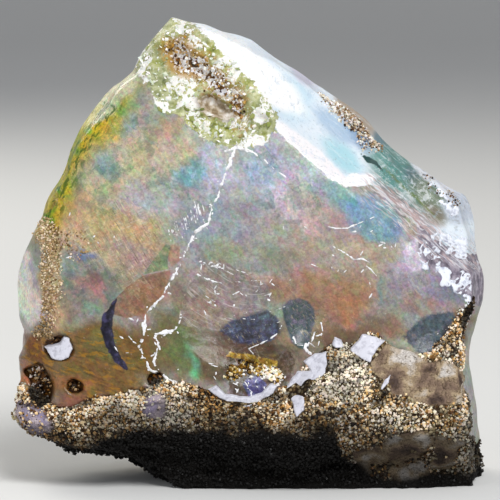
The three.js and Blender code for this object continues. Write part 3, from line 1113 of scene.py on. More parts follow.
def play_of_colour(x: Array, z: Array, size: float, strength: float, seed: float) -> Array:
    """Gives drifting tints to multiply a colour by, each channel with its own noise."""
    return np.column_stack([1 + strength * layered_noise(x, z, size, 3, seed + 10 * n) for n in range(3)])


class Effects:
    """The node groups that several finishes share, each built once."""

    def __init__(self) -> None:
        """Builds the groups."""
        self.grain = self.build_grain()
        self.streaks = self.build_streaks()
        self.fire = self.build_fire()
        self.shards = self.build_shards()

    @staticmethod
    def build_grain() -> bpy.types.NodeTree:
        """Builds packed rock grains.

        Returns:
            A group that gives their tints and their height.
        """
        takes = {"Place": Socketed.VECTOR, "Grains to a millimetre": Socketed.NUMBER}
        gives = {"Tint": Socketed.NUMBER, "Height": Socketed.NUMBER}
        tree, graph, given, end = new_group("Rock grain", takes, gives)
        cells = graph.cells(graph.wander(given["Place"], 1.4, 0.35), given["Grains to a millimetre"])
        graph.put(end.inputs["Tint"], graph.chance(cells))
        graph.put(end.inputs["Height"], graph.step(cells.outputs["Distance"], 0.75, 0.15))
        return tree

    @staticmethod
    def build_streaks() -> bpy.types.NodeTree:
        """Builds fine parallel streaks, like brush marks or scratches.

        Returns:
            A group that gives a mask of streaks along the turned x axis.
        """
        takes = {**TURNED, "Least": Socketed.NUMBER, "Most": Socketed.NUMBER}
        tree, graph, given, end = new_group("Fine streaks", takes, {"Mask": Socketed.NUMBER})
        swell = graph.swell(graph.turned(given), 1.0, 2, 0.6)
        graph.put(end.inputs["Mask"], graph.step(swell, given["Least"], given["Most"]))
        return tree

    @staticmethod
    def build_fire() -> bpy.types.NodeTree:
        """Builds the opal's drifting play of colour.

        Returns:
            A group that gives tints to multiply a colour by.
        """
        takes = {"Place": Socketed.VECTOR, "Scale": Socketed.NUMBER, "Strength": Socketed.NUMBER}
        tree, graph, given, end = new_group("Play of colour", takes, {"Colour": Socketed.COLOUR})
        swell = graph.noise(given["Place"], given["Scale"], 4, 0.62).outputs["Color"]
        graph.put(end.inputs["Colour"], graph.tinting(swell, given["Strength"]))
        return tree

    @staticmethod
    def build_shards() -> bpy.types.NodeTree:
        """Builds small angular flecks, each with its own tint.

        Returns:
            A group that gives tints to multiply a colour by.
        """
        takes = {**TURNED, "Strength": Socketed.NUMBER}
        tree, graph, given, end = new_group("Angular flecks", takes, {"Colour": Socketed.COLOUR})
        cells = graph.cells(graph.turned(given), 1.0).outputs["Color"]
        graph.put(end.inputs["Colour"], graph.tinting(cells, given["Strength"]))
        return tree


class Dressing(Graph):
    """The nodes of one material, with the shared effects and the place on the stone at hand."""

    def __init__(
        self, material: bpy.types.Material, effects: Effects, centre: tuple[float, float]
    ) -> None:
        """Starts a material.

        Args:
            material: The material.
            effects: The shared node groups.
            centre: Where the outline's origin lies from the middle of the stone.
        """
        material.use_nodes = True
        super().__init__(material.node_tree)
        self.effects = effects
        inside = self.scaled(self.node("TexCoord").outputs["Object"], 1 / MM)
        self.place = self.vector("ADD", inside, (*centre, 0.0))

    def fire(self, colour: Socket, scale: float, strength: float) -> Socket:
        """Gives a colour with a play of colour over it."""
        values = {"Place": self.place, "Scale": scale, "Strength": strength}
        return self.mix(1.0, colour, self.group(self.effects.fire, values).outputs["Colour"], "MULTIPLY")

    def finish(self, values: dict[str, object], volume: Socket | None = None) -> None:
        """Ends the material.

        Args:
            values: The shader's own values.
            volume: What fills its inside, if anything does.
        """
        shader = self.node("BsdfPrincipled", values)
        output = self.node("OutputMaterial", {"Surface": shader.outputs["BSDF"]})
        if volume:
            self.put(output.inputs["Volume"], volume)


@dataclass(frozen=True)
class Streaks:
    """Fine parallel marks of one colour. The mask of streaks starts at least and is full at most."""

    turn: float
    length: float
    width: float
    least: float
    most: float
    strength: float
    colour: str

    def lay(self, graph: Dressing, place: Socket, colour: Socket, *masks: Socket) -> Socket:
        """Lays the marks over a colour.

        Args:
            graph: The material's nodes.
            place: The place on the stone.
            colour: The colour under them.
            masks: How much of them shows at each place.

        Returns:
            The colour with the marks on it.
        """
        values = {"Place": place, **turned_by(self.turn, self.length, self.width)}
        values |= {"Least": self.least, "Most": self.most}
        marks = graph.group(graph.effects.streaks, values).outputs["Mask"]
        return graph.mix(graph.times(marks, self.strength, *masks), colour, self.colour)


# Finishes


FACE_CLOUDS = {
    "upper left haze": Cloud(-14, 33, 11, 9, "b0a57c", 0.85),
    "centre haze": Cloud(-3, 28.5, 8, 7, "868c90", 0.85),
    "right haze": Cloud(10, 27, 11, 9, "9a8878", 0.8),
    "upper haze": Cloud(1, 35.2, 12, 5.5, "a3a8b1", 0.85, -12, 0.4),
    "foot haze": Cloud(3, 14.6, 17, 4.6, "735e49", 0.75, 0, 0.45),
    "lower olive": Cloud(-8, 15.5, 6, 5, "685c30", 0.92),
    "gold field": Cloud(-14.5, 27.6, 9, 4.6, "b08f60", 0.9, -18),
    "cream at the left": Cloud(-20.6, 26.8, 2.6, 1.8, "c8aa88", 0.75),
    "left pink": Cloud(-19.3, 31.4, 3, 2.5, "b0865f", 0.7),
    "upper gold": Cloud(-15.4, 39.6, 4.4, 2.7, "c8a02c", 0.92, 35),
    "upper green": Cloud(-14.2, 42, 2.4, 2.2, "6da05c", 0.9),
    "teal haze": Cloud(-15.4, 35, 2.8, 2, "6f938d", 0.8, -40),
    "upper teal haze": Cloud(-13, 39.6, 1.7, 1.7, "6c938c", 0.7),
    "upper pink": Cloud(-8.5, 37, 5, 2.8, "b09c80", 0.85),
    "brown under the patch": Cloud(-8.2, 39.6, 3, 1.4, "a98863", 0.7),
    "lilac haze": Cloud(-10.2, 31.8, 4, 3.2, "9a98a8", 0.75),
    "grey at the left": Cloud(-14.2, 31.0, 2.6, 2.2, "8e8f88", 0.6),
    "upper blue": Cloud(-5.6, 34.2, 1.8, 1.8, "76a2bc", 0.75),
    "upper teal": Cloud(-7.2, 33.9, 2, 1.3, "7aa5b6", 0.75, 25),
    "teal right of the vein": Cloud(1.5, 34.3, 3.6, 2.2, "869fae", 0.75, -30),
    "haze by the vein": Cloud(-3.4, 33.6, 3.4, 0.8, "abb4be", 0.7, 63, 0.5),
    "blue under the thin line": Cloud(0.3, 34.9, 1.6, 1.2, "929cc6", 0.65),
    "purple streaks": Cloud(-12.5, 25.6, 4.5, 1.8, "8e6f76", 0.6, -20),
    "dusky left": Cloud(-17.2, 21.4, 4.6, 3.6, "857068", 0.75, -15),
    "blue play": Cloud(-17.4, 24.8, 1.6, 1.0, "5470a0", 0.75),
    "green haze at the left": Cloud(-19.5, 22.8, 1.6, 2.2, "6c8474", 0.65),
    "red play": Cloud(-17.2, 22.2, 3.0, 1.6, "a8605a", 0.75, -15),
    "brown by the facet": Cloud(-13.8, 23.2, 2.2, 1.6, "806a62", 0.75),
    "green play": Cloud(-17.0, 19.6, 2.0, 0.8, "6c9068", 0.6, 10),
    "brown facet": Cloud(-11.0, 20.6, 3.6, 2.1, "8f6744", 0.85, 35),
    "olive by the vein": Cloud(-7.2, 20.4, 1.9, 4.4, "736850", 0.8, 10),
    "brown at the left": Cloud(-20.8, 18.6, 2.4, 3.6, "84704e", 0.8),
    "honey": Cloud(-17, 13.4, 9.5, 5.6, "6e5014", 0.97, 0, 0.65),
    "honey green": Cloud(-15.6, 15, 2.4, 3, "5f662c", 0.7),
    "honey orange": Cloud(-18.5, 11.2, 4.4, 1.2, "9a5a20", 0.7),
    "amber at the left edge": Cloud(-23.4, 14.6, 1.9, 2.6, "6e430e", 0.9),
    "green at the foot": Cloud(-6.6, 15, 2.2, 3.4, "56683a", 0.8),
    "green flash": Cloud(-5.9, 13.6, 0.8, 2.2, "55b585", 0.85, 10),
    "shell grey": Cloud(-0.8, 20.6, 4.6, 3, "979090", 0.85),
    "shell brown": Cloud(-4.5, 19.3, 2, 2.6, "96765e", 0.7),
    "shell pink": Cloud(1.2, 22.6, 2.6, 1, "b08f80", 0.7),
    "shell foot": Cloud(-0.8, 14.4, 6.4, 3.2, "543f2a", 0.95, 0, 0.6),
    "gold line": Cloud(1.1, 13.9, 3.8, 0.75, "9d7c1c", 0.85, -6),
    "lilac right": Cloud(4.6, 31.4, 3.2, 3.2, "aa9eac", 0.8),
    "pink right": Cloud(6.4, 30.2, 3.4, 2.4, "c09a94", 0.8, -30),
    "green right": Cloud(3.4, 25.0, 2.8, 2.0, "7e805e", 0.7),
    "olive over the shell": Cloud(-2.5, 25.6, 4, 1.8, "7d7f62", 0.7, 10),
    "brown between the bowls": Cloud(3.8, 21.4, 2.0, 3.0, "80604a", 0.85, -15),
    "orange right": Cloud(9.6, 21.0, 7.4, 4.8, "9c6a48", 0.9, -8),
    "orange core": Cloud(10.6, 19.6, 3.6, 2.2, "a86c40", 0.6),
    "grey right": Cloud(19.4, 21.8, 4.6, 3.8, "887c8a", 0.9, 0, 0.5),
    "blue under the corner": Cloud(22.0, 21.4, 2.4, 2.0, "686c80", 0.8),
    "teal lens": Cloud(15.1, 20.8, 0.75, 1.9, "627c80", 0.7, -8, 0.45),
    "green by the shoulder": Cloud(6.6, 35.2, 3.6, 1.7, "9dabae", 0.75, -42),
    "teal by the shoulder": Cloud(10.6, 31.5, 3.4, 2.1, "68a2a2", 0.8, -35),
    "blue by the shoulder": Cloud(13.9, 29.4, 4.0, 2.9, "5e93a6", 0.88, -36, 0.6),
    "deep blue": Cloud(16.0, 27.9, 2.0, 1.6, "587fa6", 0.7, -40),
    "lilac cloud": Cloud(17.9, 24.6, 2.2, 3.0, "a497aa", 0.85, -10, 0.5),
    "pink low right": Cloud(19.4, 19.4, 3.0, 1.0, "94685c", 0.7, 10),
    "brown right edge": Cloud(24, 16.8, 1.5, 3, "5d4620", 0.9),
    "brown over the rock": Cloud(10.6, 16.7, 5.0, 1.7, "6a5232", 0.9),
    "brown right of the oval": Cloud(8.6, 18.6, 2.0, 2.6, "8a6650", 0.8),
    "brown left of the window": Cloud(14.8, 17.2, 3.6, 2.3, "7c5c40", 0.85),
    "brown left of the pocket": Cloud(-3.6, 14.4, 2.6, 2.2, "665034", 0.85, 0, 0.5),
    "grains seen through": Cloud(-21.6, 22.4, 1.5, 6.2, "b2966a", 0.9, 0, 0.6),
    "shell flake": Cloud(-24.6, 21.6, 1.9, 4.6, "d2c8be", 0.95, 3, 0.75),
    "lilac in the shell flake": Cloud(-23.4, 22.6, 0.5, 2.4, "8c8498", 0.8, 8, 0.4),
    "olive over the grains": Cloud(-22.9, 29.4, 1.5, 1.9, "86722c", 0.9),
    "orange wall": Cloud(-24.9, 11.8, 1.2, 2.6, "a8602c", 0.9),
    "rust at the foot": Cloud(-18.6, 8.8, 5.6, 1.8, "7c4a2c", 0.9),
}

BEVEL_CLOUDS = {
    "teal end": Cloud(17.8, 33.3, 6.6, 4.0, "46857c", 0.95, -42, 0.55),
    "slate in the teal": Cloud(18.9, 32.9, 2.2, 0.9, "4a6a80", 0.8, -42),
    "olive end": Cloud(20.5, 30.9, 4.5, 2.4, "6a7356", 0.85, -42),
    "blue grey": Cloud(12.3, 37.8, 3.2, 1.5, "7f9bbc", 0.9, -42),
    "slate": Cloud(14.9, 37.4, 1.8, 1.0, "56707c", 0.85, -42),
    # The white chalk clouds and the pale cyan ones stand partly for chalky opal and partly for a painted
    # reflection of a broad light on the glassy bevel.
    "cyan": Cloud(4.6, 42.2, 4.5, 3, "c4e0ee", 0.85, -45),
    "soft blue": Cloud(9.6, 39.0, 3.6, 1.5, "a9c2da", 0.85, -42, 0.4),
    "low cyan": Cloud(10.4, 35.8, 4, 1.6, "a6d6e0", 0.85, -42),
    "chalk": Cloud(0.2, 45.3, 9, 2.2, "ffffff", 1.0, -38, 0.7),
    "low chalk": Cloud(7.2, 35.6, 7.5, 1.25, "faf6f8", 1.0, -43, 0.75),
    "chalk toe": Cloud(12.3, 33.4, 2.6, 0.8, "fbf9fb", 1.0, -4, 0.7),
    "lilac rim": Cloud(6, 44.3, 3.2, 0.8, "c6bed0", 0.7, -38),
    "striated pink": Cloud(17.9, 29.3, 5.6, 1.3, "ab8f8e", 0.88, -43, 0.5),
    "grain ground": Cloud(12.0, 40.0, 3.6, 1.3, "a8937a", 0.9, -44, 0.6),
    "white knob": Cloud(23.8, 29.8, 2.8, 2.3, "c3cbd8", 0.97, -30, 0.55),
    "white rim": Cloud(20.6, 33.2, 3.8, 0.8, "e4e6ee", 0.9, -36, 0.7),
    "brown under the knob": Cloud(20.7, 29.3, 2.1, 1.3, "857c6c", 0.9, -40, 0.4),
    "olive line": Cloud(18.2, 31.6, 5.6, 0.17, "6c7a34", 0.75, -43, 0.5),
}

BODY_CLOUDS = {
    "yellow green flank": Cloud(-19, 37, 8, 9, "a3a548", 0.85),
    "teal flank": Cloud(17, 34, 9, 8, "64887c", 0.8),
    "honey flank": Cloud(-20, 14, 10, 9, "8a6a2c", 0.85),
    "grey flank": Cloud(20, 18, 8, 9, "8a8578", 0.8),
    "white top": Cloud(2, 46, 10, 6, "e3e8ea", 0.85),
    "white knob": Cloud(23.2, 31, 4.5, 4, "c9ced8", 0.95, 0, 0.6),
    "left flake": Cloud(-25.2, 20.5, 2.2, 7, "c4b4a4", 0.9),
    "amber wall": Cloud(-24.8, 13.4, 2.4, 3, "a06c3c", 0.9),
    "yellow rim": Cloud(-20.6, 34.6, 2.0, 6.4, "b8b050", 0.8, -30),
}

# Near-black brown of the painted shade under the brow and in the crust's cracks, hollows and pits.
PAINTED_SHADE = "0c0a08"
RIM_SCALES: Stops = ((0.4, "a89a34"), (0.5, "cdbd48"), (0.6, "e6d868"))
PALE_GLASS: Stops = ((0.3, "747c50"), (0.48, "a8ad7c"), (0.62, "cccda8"), (0.8, "ecedde"))
OLIVE_GLASS: Stops = ((0.3, "6b7328"), (0.46, "9aa04e"), (0.6, "c8c98f"), (0.78, "eceedd"))
RUSTY_CRUMBS: Stops = ((0.0, "33200c"), (0.25, "7a4f16"), (0.4, "b98a38"), (0.52, "d8ccbc"), (0.75, "f4f2f4"))
CORNER_TINTS: Stops = ((0.35, "5a5360"), (0.5, "857c8a"), (0.65, "b3abb6"))
INDIGO_GROOVE: Stops = ((0.36, "0f0d16"), (0.52, "221f33"), (0.66, "433f63"))
# Dark brown to rust of the pits: partly painted shade in their hollows, partly rust.
PIT_SHADE_AND_RUST: Stops = ((0.38, "140a04"), (0.5, "3a200a"), (0.68, "80521a"))
ROCK_TINTS: Stops = ((0.0, "2c1f10"), (0.3, "5e4a2c"), (0.55, "8f7b57"), (0.8, "b8a781"), (0.97, "ddd2b8"))
CRUST_TINTS: Stops = (
    (0.0, "140a04"), (0.24, "5c3b1a"), (0.4, "b68444"), (0.54, "e8c084"), (0.7, "fce2b8"), (0.9, "fff4e0"),
)
RIND_TINTS: Stops = ((0.0, "2e1d0e"), (0.2, "75552b"), (0.5, "a98c5a"), (0.75, "cfc09b"), (1.0, "ece5d4"))
VUG_TINTS: Stops = (
    (0.0, "2a1606"), (0.18, "744a12"), (0.32, "b98a38"), (0.46, "dcc79c"), (0.6, "e6dedc"), (0.8, "fffdfb"),
)
CRUMB_TINTS: Stops = ((0.0, "8b9350"), (0.25, "bcc49c"), (0.5, "e2e6da"), (1.0, "fbfbf8"))
SHOULDER_TINTS: Stops = (
    (0.0, "3a2512"), (0.22, "876744"), (0.45, "c2ae8f"), (0.7, "e6dfd4"), (1.0, "fbfaf8"),
)
EDGE_TINTS: Stops = ((0.0, "1a0e04"), (0.3, "5c3a14"), (0.52, "9a7440"), (0.7, "cfc6b8"), (1.0, "f2f0ee"))
SLAB_TINTS: Stops = ((0.38, "4c3e38"), (0.46, "836e5e"), (0.54, "a89478"), (0.63, "d0c9c2"))
AMBER_EDGE: Stops = ((0.38, "221004"), (0.46, "5e3810"), (0.55, "96692a"), (0.65, "c9a878"))
BAND_TINTS: Stops = ((0.0, "1a0e04"), (0.3, "7a5514"), (0.55, "c29a3a"), (0.75, "e8d9a8"), (1.0, "fbf8f0"))
PIT_TINTS: Stops = ((0.0, "100804"), (0.4, "3a1e08"), (0.66, "8c5a1c"), (0.84, "cfae80"), (0.94, "f4ece4"))
FLANK_TINTS: Stops = ((0.0, "6e5634"), (0.3, "a98c60"), (0.6, "ccb088"), (0.85, "ecdcc0"))


class Finish:
    """What a surface is made of. Each kind says in its own way how its material is dressed."""

    name: str

    def build(self, effects: Effects, centre: tuple[float, float]) -> bpy.types.Material:
        """Builds the material.

        Args:
            effects: The shared node groups.
            centre: Where the outline's origin lies from the middle of the stone.

        Returns:
            The material.
        """
        material = bpy.data.materials.new(self.name)
        self.dress(Dressing(material, effects, centre))
        return material

    def dress(self, graph: Dressing) -> None:
        """Adds the material's nodes."""
        raise NotImplementedError


@dataclass(frozen=True)
class OpalFinish(Finish):
    """Translucent precious opal: hazy glass with drifting colours, chalky where it is crushed."""

    name: str = "precious_opal"
    ior: float = 1.45
    specular: float = 0.3
    roughness: float = 0.3
    crushed_roughness: float = 0.42
    wall_roughness: float = 0.6
    transmission: float = 0.12
    subsurface: float = 0.25
    absorption: str = "e2c68c"
    absorption_density: float = 35.0
    coat: float = 0.08
    nick: str = "2c4a48"
    blotch: str = "9cc8c4"
    shell_arc: str = "efe6e2"
    thin_line: str = "d9c6b8"
    painted_glint: str = "f2f0ea"
    white_flake: str = "f6f5f0"
    ochre: str = "b98f3a"
    vug_stain: str = "a8791c"
    bean_rim: str = "6a4420"
    arc_centre: tuple[float, float] = (0.5, 27.5)
    flecks: tuple[tuple[float, float, float, float], ...] = ((-52, 0.8, 0.34, 0.22), (28, 0.34, 0.2, 0.14))
    scratches: tuple[Streaks, ...] = (
        Streaks(-54, 0.8, 0.2, 0.56, 0.7, 0.55, "efdcae"), Streaks(-58, 1.8, 0.12, 0.56, 0.7, 0.55, "43382f"),
        Streaks(22, 0.9, 0.1, 0.56, 0.7, 0.25, "f0eef0"),
    )
    honey_bands: tuple[Streaks, ...] = (
        Streaks(-12, 1.3, 0.4, 0.52, 0.66, 0.6, "b07c18"), Streaks(-18, 1.6, 0.3, 0.52, 0.66, 0.42, "33260a"),
    )
    rim_ticks: Streaks = Streaks(62, 0.9, 0.3, 0.5, 0.6, 0.8, "285810")
    bevel_streaks: Streaks = Streaks(-42, 3.0, 0.22, 0.5, 0.75, 0.3, "f6f8fa")
    ledge_lines: tuple[tuple[float, Streaks], ...] = (
        (0.0, Streaks(-41, 1.6, 0.15, 0.5, 0.62, 0.6, "c9a7a2")),
        (7.0, Streaks(-41, 1.6, 0.15, 0.5, 0.62, 0.4, "5f6d74")),
        (19.0, Streaks(-41, 1.6, 0.15, 0.5, 0.62, 0.5, "f4f4f8")),
    )

    def dress(self, graph: Dressing) -> None:
        """Draws the face, bevel, patch and broken walls, each inside its ragged border.

        Args:
            graph: The material's nodes.
        """
        place = graph.place
        swell = graph.swell(place, 1.3, 4, 0.6)

        def crisp(mark: str, reach: float, soft: float, start: float = 0.0) -> Socket:
            """Gives a mask of where a mark is above start, with a ragged border."""
            return graph.step(graph.ragged(mark, swell, reach), start - soft, start + soft)

        face = self.face_colour(graph)
        bevel = self.bevel_colour(graph)
        patch, patch_height = self.patch_colour(graph)
        on_bevel = crisp("shoulder", 0.7, 0.06)
        on_patch = crisp("patch", 1.8, 0.1)
        colour = graph.mix(crisp("corner", 1.0, 0.06), face, graph.ramp(swell, CORNER_TINTS))
        colour = graph.mix(on_bevel, colour, bevel)
        bent = graph.wander(place, 0.7, 0.7)
        for shift, lines in self.ledge_lines:
            moved = graph.vector("ADD", bent, (shift, shift, shift))
            colour = lines.lay(graph, moved, colour, graph.mark("ledge"))
        colour = graph.mix(crisp("nick", 0.4, 0.05), colour, self.nick)
        colour = graph.mix(on_patch, colour, patch)
        colour = graph.mix(graph.step(graph.mark("front"), 9.0, 3.0), graph.tint("body_tint"), colour)
        colour = graph.mix(crisp("crescent", 0.6, 0.07, 0.02), colour, graph.ramp(swell, INDIGO_GROOVE))
        # The pits are painted near-black to rust brown: partly painted shade in the hollows, partly rust.
        colour = graph.mix(crisp("pits", 0.5, 0.12, 0.12), colour, graph.ramp(swell, PIT_SHADE_AND_RUST))

        matte = graph.math("MAXIMUM", on_patch, graph.times(on_bevel, 0.6))
        rough = graph.mix_numbers(matte, self.roughness, self.crushed_roughness)
        walls = graph.step(graph.mark("front"), 0.8, 3.0)
        rough = graph.mix_numbers(walls, rough, self.wall_roughness)
        wide = graph.swell(place, 0.5, 3)
        height = graph.math("ADD", graph.times(wide, 0.2), graph.times(swell, 0.14))
        height = graph.math("ADD", height, graph.times(on_patch, patch_height, 0.3))
        absorb = {"Color": self.absorption, "Density": self.absorption_density}
        graph.finish({
            "Base Color": colour, "Roughness": rough, "IOR": self.ior, "Normal": graph.bump(height, MM),
            "Specular IOR Level": self.specular, "Transmission Weight": self.transmission,
            "Subsurface Weight": self.subsurface, "Subsurface Radius": (1.3, 1.0, 0.8),
            "Subsurface Scale": MM, "Coat Weight": self.coat, "Coat Roughness": 0.05,
        }, graph.node("VolumeAbsorption", absorb).outputs["Volume"])

    def face_colour(self, graph: Dressing) -> Socket:
        """Draws the big face: its tints, regions, fine play of colour, brushed haze and left rim.

        Args:
            graph: The material's nodes.

        Returns:
            The colour.
        """
        place = graph.place
        colour = graph.tint("face_tint")
        swell = graph.swell(place, 1.4, 5, 0.7)
        for name, region in REGIONS.items():
            edge = graph.ragged(name, swell, region.ragged)
            share = graph.step(edge, -region.soft, region.soft, 0.0, region.strength)
            colour = graph.mix(share, colour, graph.ramp(swell, region.stops))
        colour = graph.fire(colour, 1.6, 0.22)
        bent = graph.wander(place, 2.2, 0.35)
        for turn, length, width, strength in self.flecks:
            values = {"Place": bent, "Strength": strength, **turned_by(turn, length, width)}
            flecks = graph.group(graph.effects.shards, values).outputs["Colour"]
            colour = graph.mix(1.0, colour, flecks, "MULTIPLY")
        blotch = graph.step(graph.swell(graph.wander(place, 0.9, 1.2), 0.5, 5, 0.7), 0.5, 0.57)
        blotch = graph.times(blotch, graph.step(graph.mark("blotched"), 0.0, 0.5, 0.0, 0.55))
        colour = graph.mix(blotch, colour, graph.mix(1.0, colour, self.blotch, "MULTIPLY"))
        grain = graph.math("MULTIPLY_ADD", graph.swell(place, 3.4, 4, 0.75), 1.6, 0.2)
        swirls = graph.math("ADD", graph.swell(bent, 0.9, 4, 0.65), 0.5)
        colour = graph.scaled(colour, graph.times(grain, swirls))
        scratched = graph.mark("scratched")
        for streaks in self.scratches:
            colour = streaks.lay(graph, place, colour, scratched)
        honey = graph.step(graph.mark("honey"), 0.0, 0.5)
        for streaks in self.honey_bands:
            colour = streaks.lay(graph, bent, colour, honey)
        shell = graph.mix(self.shell_arcs(graph), colour, self.shell_arc)
        colour = graph.mix(graph.step(graph.mark("great_shell"), -0.1, 0.3), colour, shell)
        drawn = graph.step(graph.ragged("thin_lines", swell, 0.5), 0.0, 0.07, 0.0, 0.5)
        colour = graph.mix(drawn, colour, self.thin_line)
        # Painted glints: tiny white dots that stand for light caught on the face.
        specks = graph.step(graph.swell(place, 3.6, 3, 0.7), 0.68, 0.74, 0.0, 0.4)
        colour = graph.mix(specks, colour, self.painted_glint)
        on_rim = graph.step(graph.mark("rim"), 3.0, 1.4)
        colour = self.rim_ticks.lay(graph, graph.wander(place, 0.5, 1.2), colour, on_rim)
        scales = graph.step(graph.ragged("rim", swell, 1.6), 0.5, 0.35, 0.0, 0.75)
        near = graph.step(graph.mark("front"), 4.5, 1.0)
        return graph.mix(graph.times(near, scales), colour, graph.ramp(swell, RIM_SCALES))

    def shell_arcs(self, graph: Dressing) -> Socket:
        """Draws the fine arcs that ripple across the conchoidal shell.

        Args:
            graph: The material's nodes.

        Returns:
            Their share at each place.
        """
        away = graph.vector("SUBTRACT", graph.place, (self.arc_centre[0], 0.0, self.arc_centre[1]))
        parts = graph.node("SeparateXYZ", {"Vector": away})
        x, z = parts.outputs["X"], parts.outputs["Z"]
        radius = graph.math("SQRT", graph.math("ADD", graph.times(x, x), graph.times(z, z)))
        turn = graph.times(graph.math("ARCTAN2", z, x), 3.5)
        bands = graph.node("CombineXYZ", {"X": graph.times(radius, 4.5), "Y": turn}).outputs["Vector"]
        return graph.step(graph.swell(bands, 1.0, 2, 0.6), 0.54, 0.74, 0.0, 0.5)

    def bevel_colour(self, graph: Dressing) -> Socket:
        """Draws the shoulder: its tints with fine streaks along it, specks, blotches and mottles.

        Args:
            graph: The material's nodes.

        Returns:
            The colour.
        """
        place = graph.place
        bent = graph.wander(place, 0.6, 0.8)
        colour = self.bevel_streaks.lay(graph, bent, graph.tint("bevel_tint"))
        for scale, detail, rough, low, high, most, code in (
            (2.6, 4, 0.8, 0.56, 0.66, 0.4, "7c8f9a"), (0.9, 5, 0.7, 0.56, 0.62, 0.3, "a9c2d6"),
        ):
            share = graph.step(graph.swell(place, scale, detail, rough), low, high, 0.0, most)
            colour = graph.mix(share, colour, code)
        mottles = graph.swell(graph.wander(place, 0.9, 0.8), 1.2, 5, 0.75)
        bright = graph.swell(place, 3.4, 3, 0.7)
        for swell, low, high, most, code in (
            (mottles, 0.53, 0.6, 0.6, "6f6a60"), (mottles, 0.47, 0.4, 0.6, "e9edf2"),
            (bright, 0.66, 0.7, 0.85, "f6f8fa"),
        ):
            share = graph.times(graph.step(swell, low, high, 0.0, most), graph.mark("mottled"))
            colour = graph.mix(share, colour, code)
        return colour

    def patch_colour(self, graph: Dressing) -> tuple[Socket, Socket]:
        """Draws the crumbled patch: green glass, white flakes, and rust along its vug.

        Args:
            graph: The material's nodes.

        Returns:
            The colour and the height.
        """
        place = graph.place
        drift = graph.step(graph.swell(place, 0.35, 4), 0.44, 0.6)
        haze = graph.swell(place, 1.1, 5, 0.65)
        colour = graph.mix(drift, graph.ramp(haze, PALE_GLASS), graph.ramp(haze, OLIVE_GLASS))
        flakes = graph.swell(graph.wander(place, 1.2, 0.9), 1.9, 4, 0.7)
        plates = graph.chance(graph.cells(graph.wander(place, 1.3, 0.8), 0.7))
        white = graph.math("MULTIPLY_ADD", flakes, 1.2, plates)
        colour = graph.mix(graph.step(white, 1.36, 1.4), colour, self.white_flake)
        ochre = graph.step(graph.ragged("ochre", flakes, 2.0), 0.1, 0.6, 0.0, 0.75)
        colour = graph.mix(ochre, colour, self.ochre)
        vug = graph.mark("vug")
        stained = graph.step(graph.math("MULTIPLY_ADD", flakes, 7.0, vug), 5.4, 4.6, 0.0, 0.6)
        colour = graph.mix(stained, colour, self.vug_stain)
        crumbs = graph.group(graph.effects.grain, {"Place": place, "Grains to a millimetre": 3.0})
        near = graph.step(graph.math("MULTIPLY_ADD", flakes, 3.6, vug), 2.9, 2.4)
        colour = graph.mix(near, colour, graph.ramp(crumbs.outputs["Tint"], RUSTY_CRUMBS))
        bean = graph.ragged("bean", haze, 0.6)
        colour = graph.mix(graph.step(bean, -0.5, -0.1, 0.0, 0.5), colour, self.bean_rim)
        return graph.mix(graph.step(bean, -0.05, 0.08), colour, graph.ramp(haze, BEAN.stops)), flakes


@dataclass(frozen=True)
class RockFinish(Finish):
    """The host rock between and under its grains: brown, tan and cream, with painted shade under the brow and
    between its grains.
    """

    name: str = "host_rock"
    gap: str = "2e1f10"
    grey: str = "8d8576"
    slab_speck: str = "54442f"
    lilac: tuple[str, str] = ("968ca6", "c3b4bc")
    roughness: float = 0.75

    def dress(self, graph: Dressing) -> None:
        """Draws the rock with its slab, milky lumps and amber edge, and paints shade over it.

        Args:
            graph: The material's nodes.
        """
        place = graph.place
        grain = graph.group(graph.effects.grain, {"Place": place, "Grains to a millimetre": 2.6}).outputs
        colour = graph.ramp(grain["Tint"], ROCK_TINTS)
        drift = graph.swell(place, 0.3, 4)
        colour = graph.mix(graph.step(drift, 0.45, 0.62, 0.0, 0.6), colour, self.grey)
        # Painted shade: the gaps between the rock's grains, lowest in the bump, are darkened.
        colour = graph.mix(graph.step(grain["Height"], 0.35, 0.0), colour, self.gap)
        specks = graph.step(graph.swell(place, 2.2, 4, 0.8), 0.54, 0.62, 0.0, 0.75)
        slab = graph.mix(specks, graph.ramp(drift, SLAB_TINTS), self.slab_speck)
        colour = graph.mix(graph.step(graph.ragged("slab", drift, 1.6), -0.1, 0.1), colour, slab)
        lavender = graph.mix(graph.step(drift, 0.42, 0.6), *self.lilac)
        colour = graph.mix(graph.mark("lavender"), colour, lavender)
        colour = graph.mix(graph.mark("amber"), colour, graph.ramp(drift, AMBER_EDGE))
        # Painted shade under the brow and in the crust's cracks, hollows and pits, from the shade mark.
        colour = graph.mix(graph.mark("shade"), colour, PAINTED_SHADE)
        graph.finish({
            "Base Color": colour, "Roughness": self.roughness, "Specular IOR Level": 0.12,
            "Normal": graph.bump(grain["Height"], 0.25 * MM, 0.8),
        })


@dataclass(frozen=True)
class GrainFinish(Finish):
    """Loose-looking grains, each with its own tint, that catch the light on their facets."""

    name: str
    stops: Stops
    roughness: float = 0.45

    def dress(self, graph: Dressing) -> None:
        """Gives each grain its tint, darkened by painted shade where its shade mark says.

        Args:
            graph: The material's nodes.
        """
        colour = graph.fire(graph.ramp(graph.mark("tint"), self.stops), 2.5, 0.5)
        # Painted shade: grains under the brow and in the crust's cracks, hollows and pits are darkened.
        colour = graph.mix(graph.mark("shade"), colour, PAINTED_SHADE)
        graph.finish({"Base Color": colour, "Roughness": self.roughness, "Specular IOR Level": 0.2})


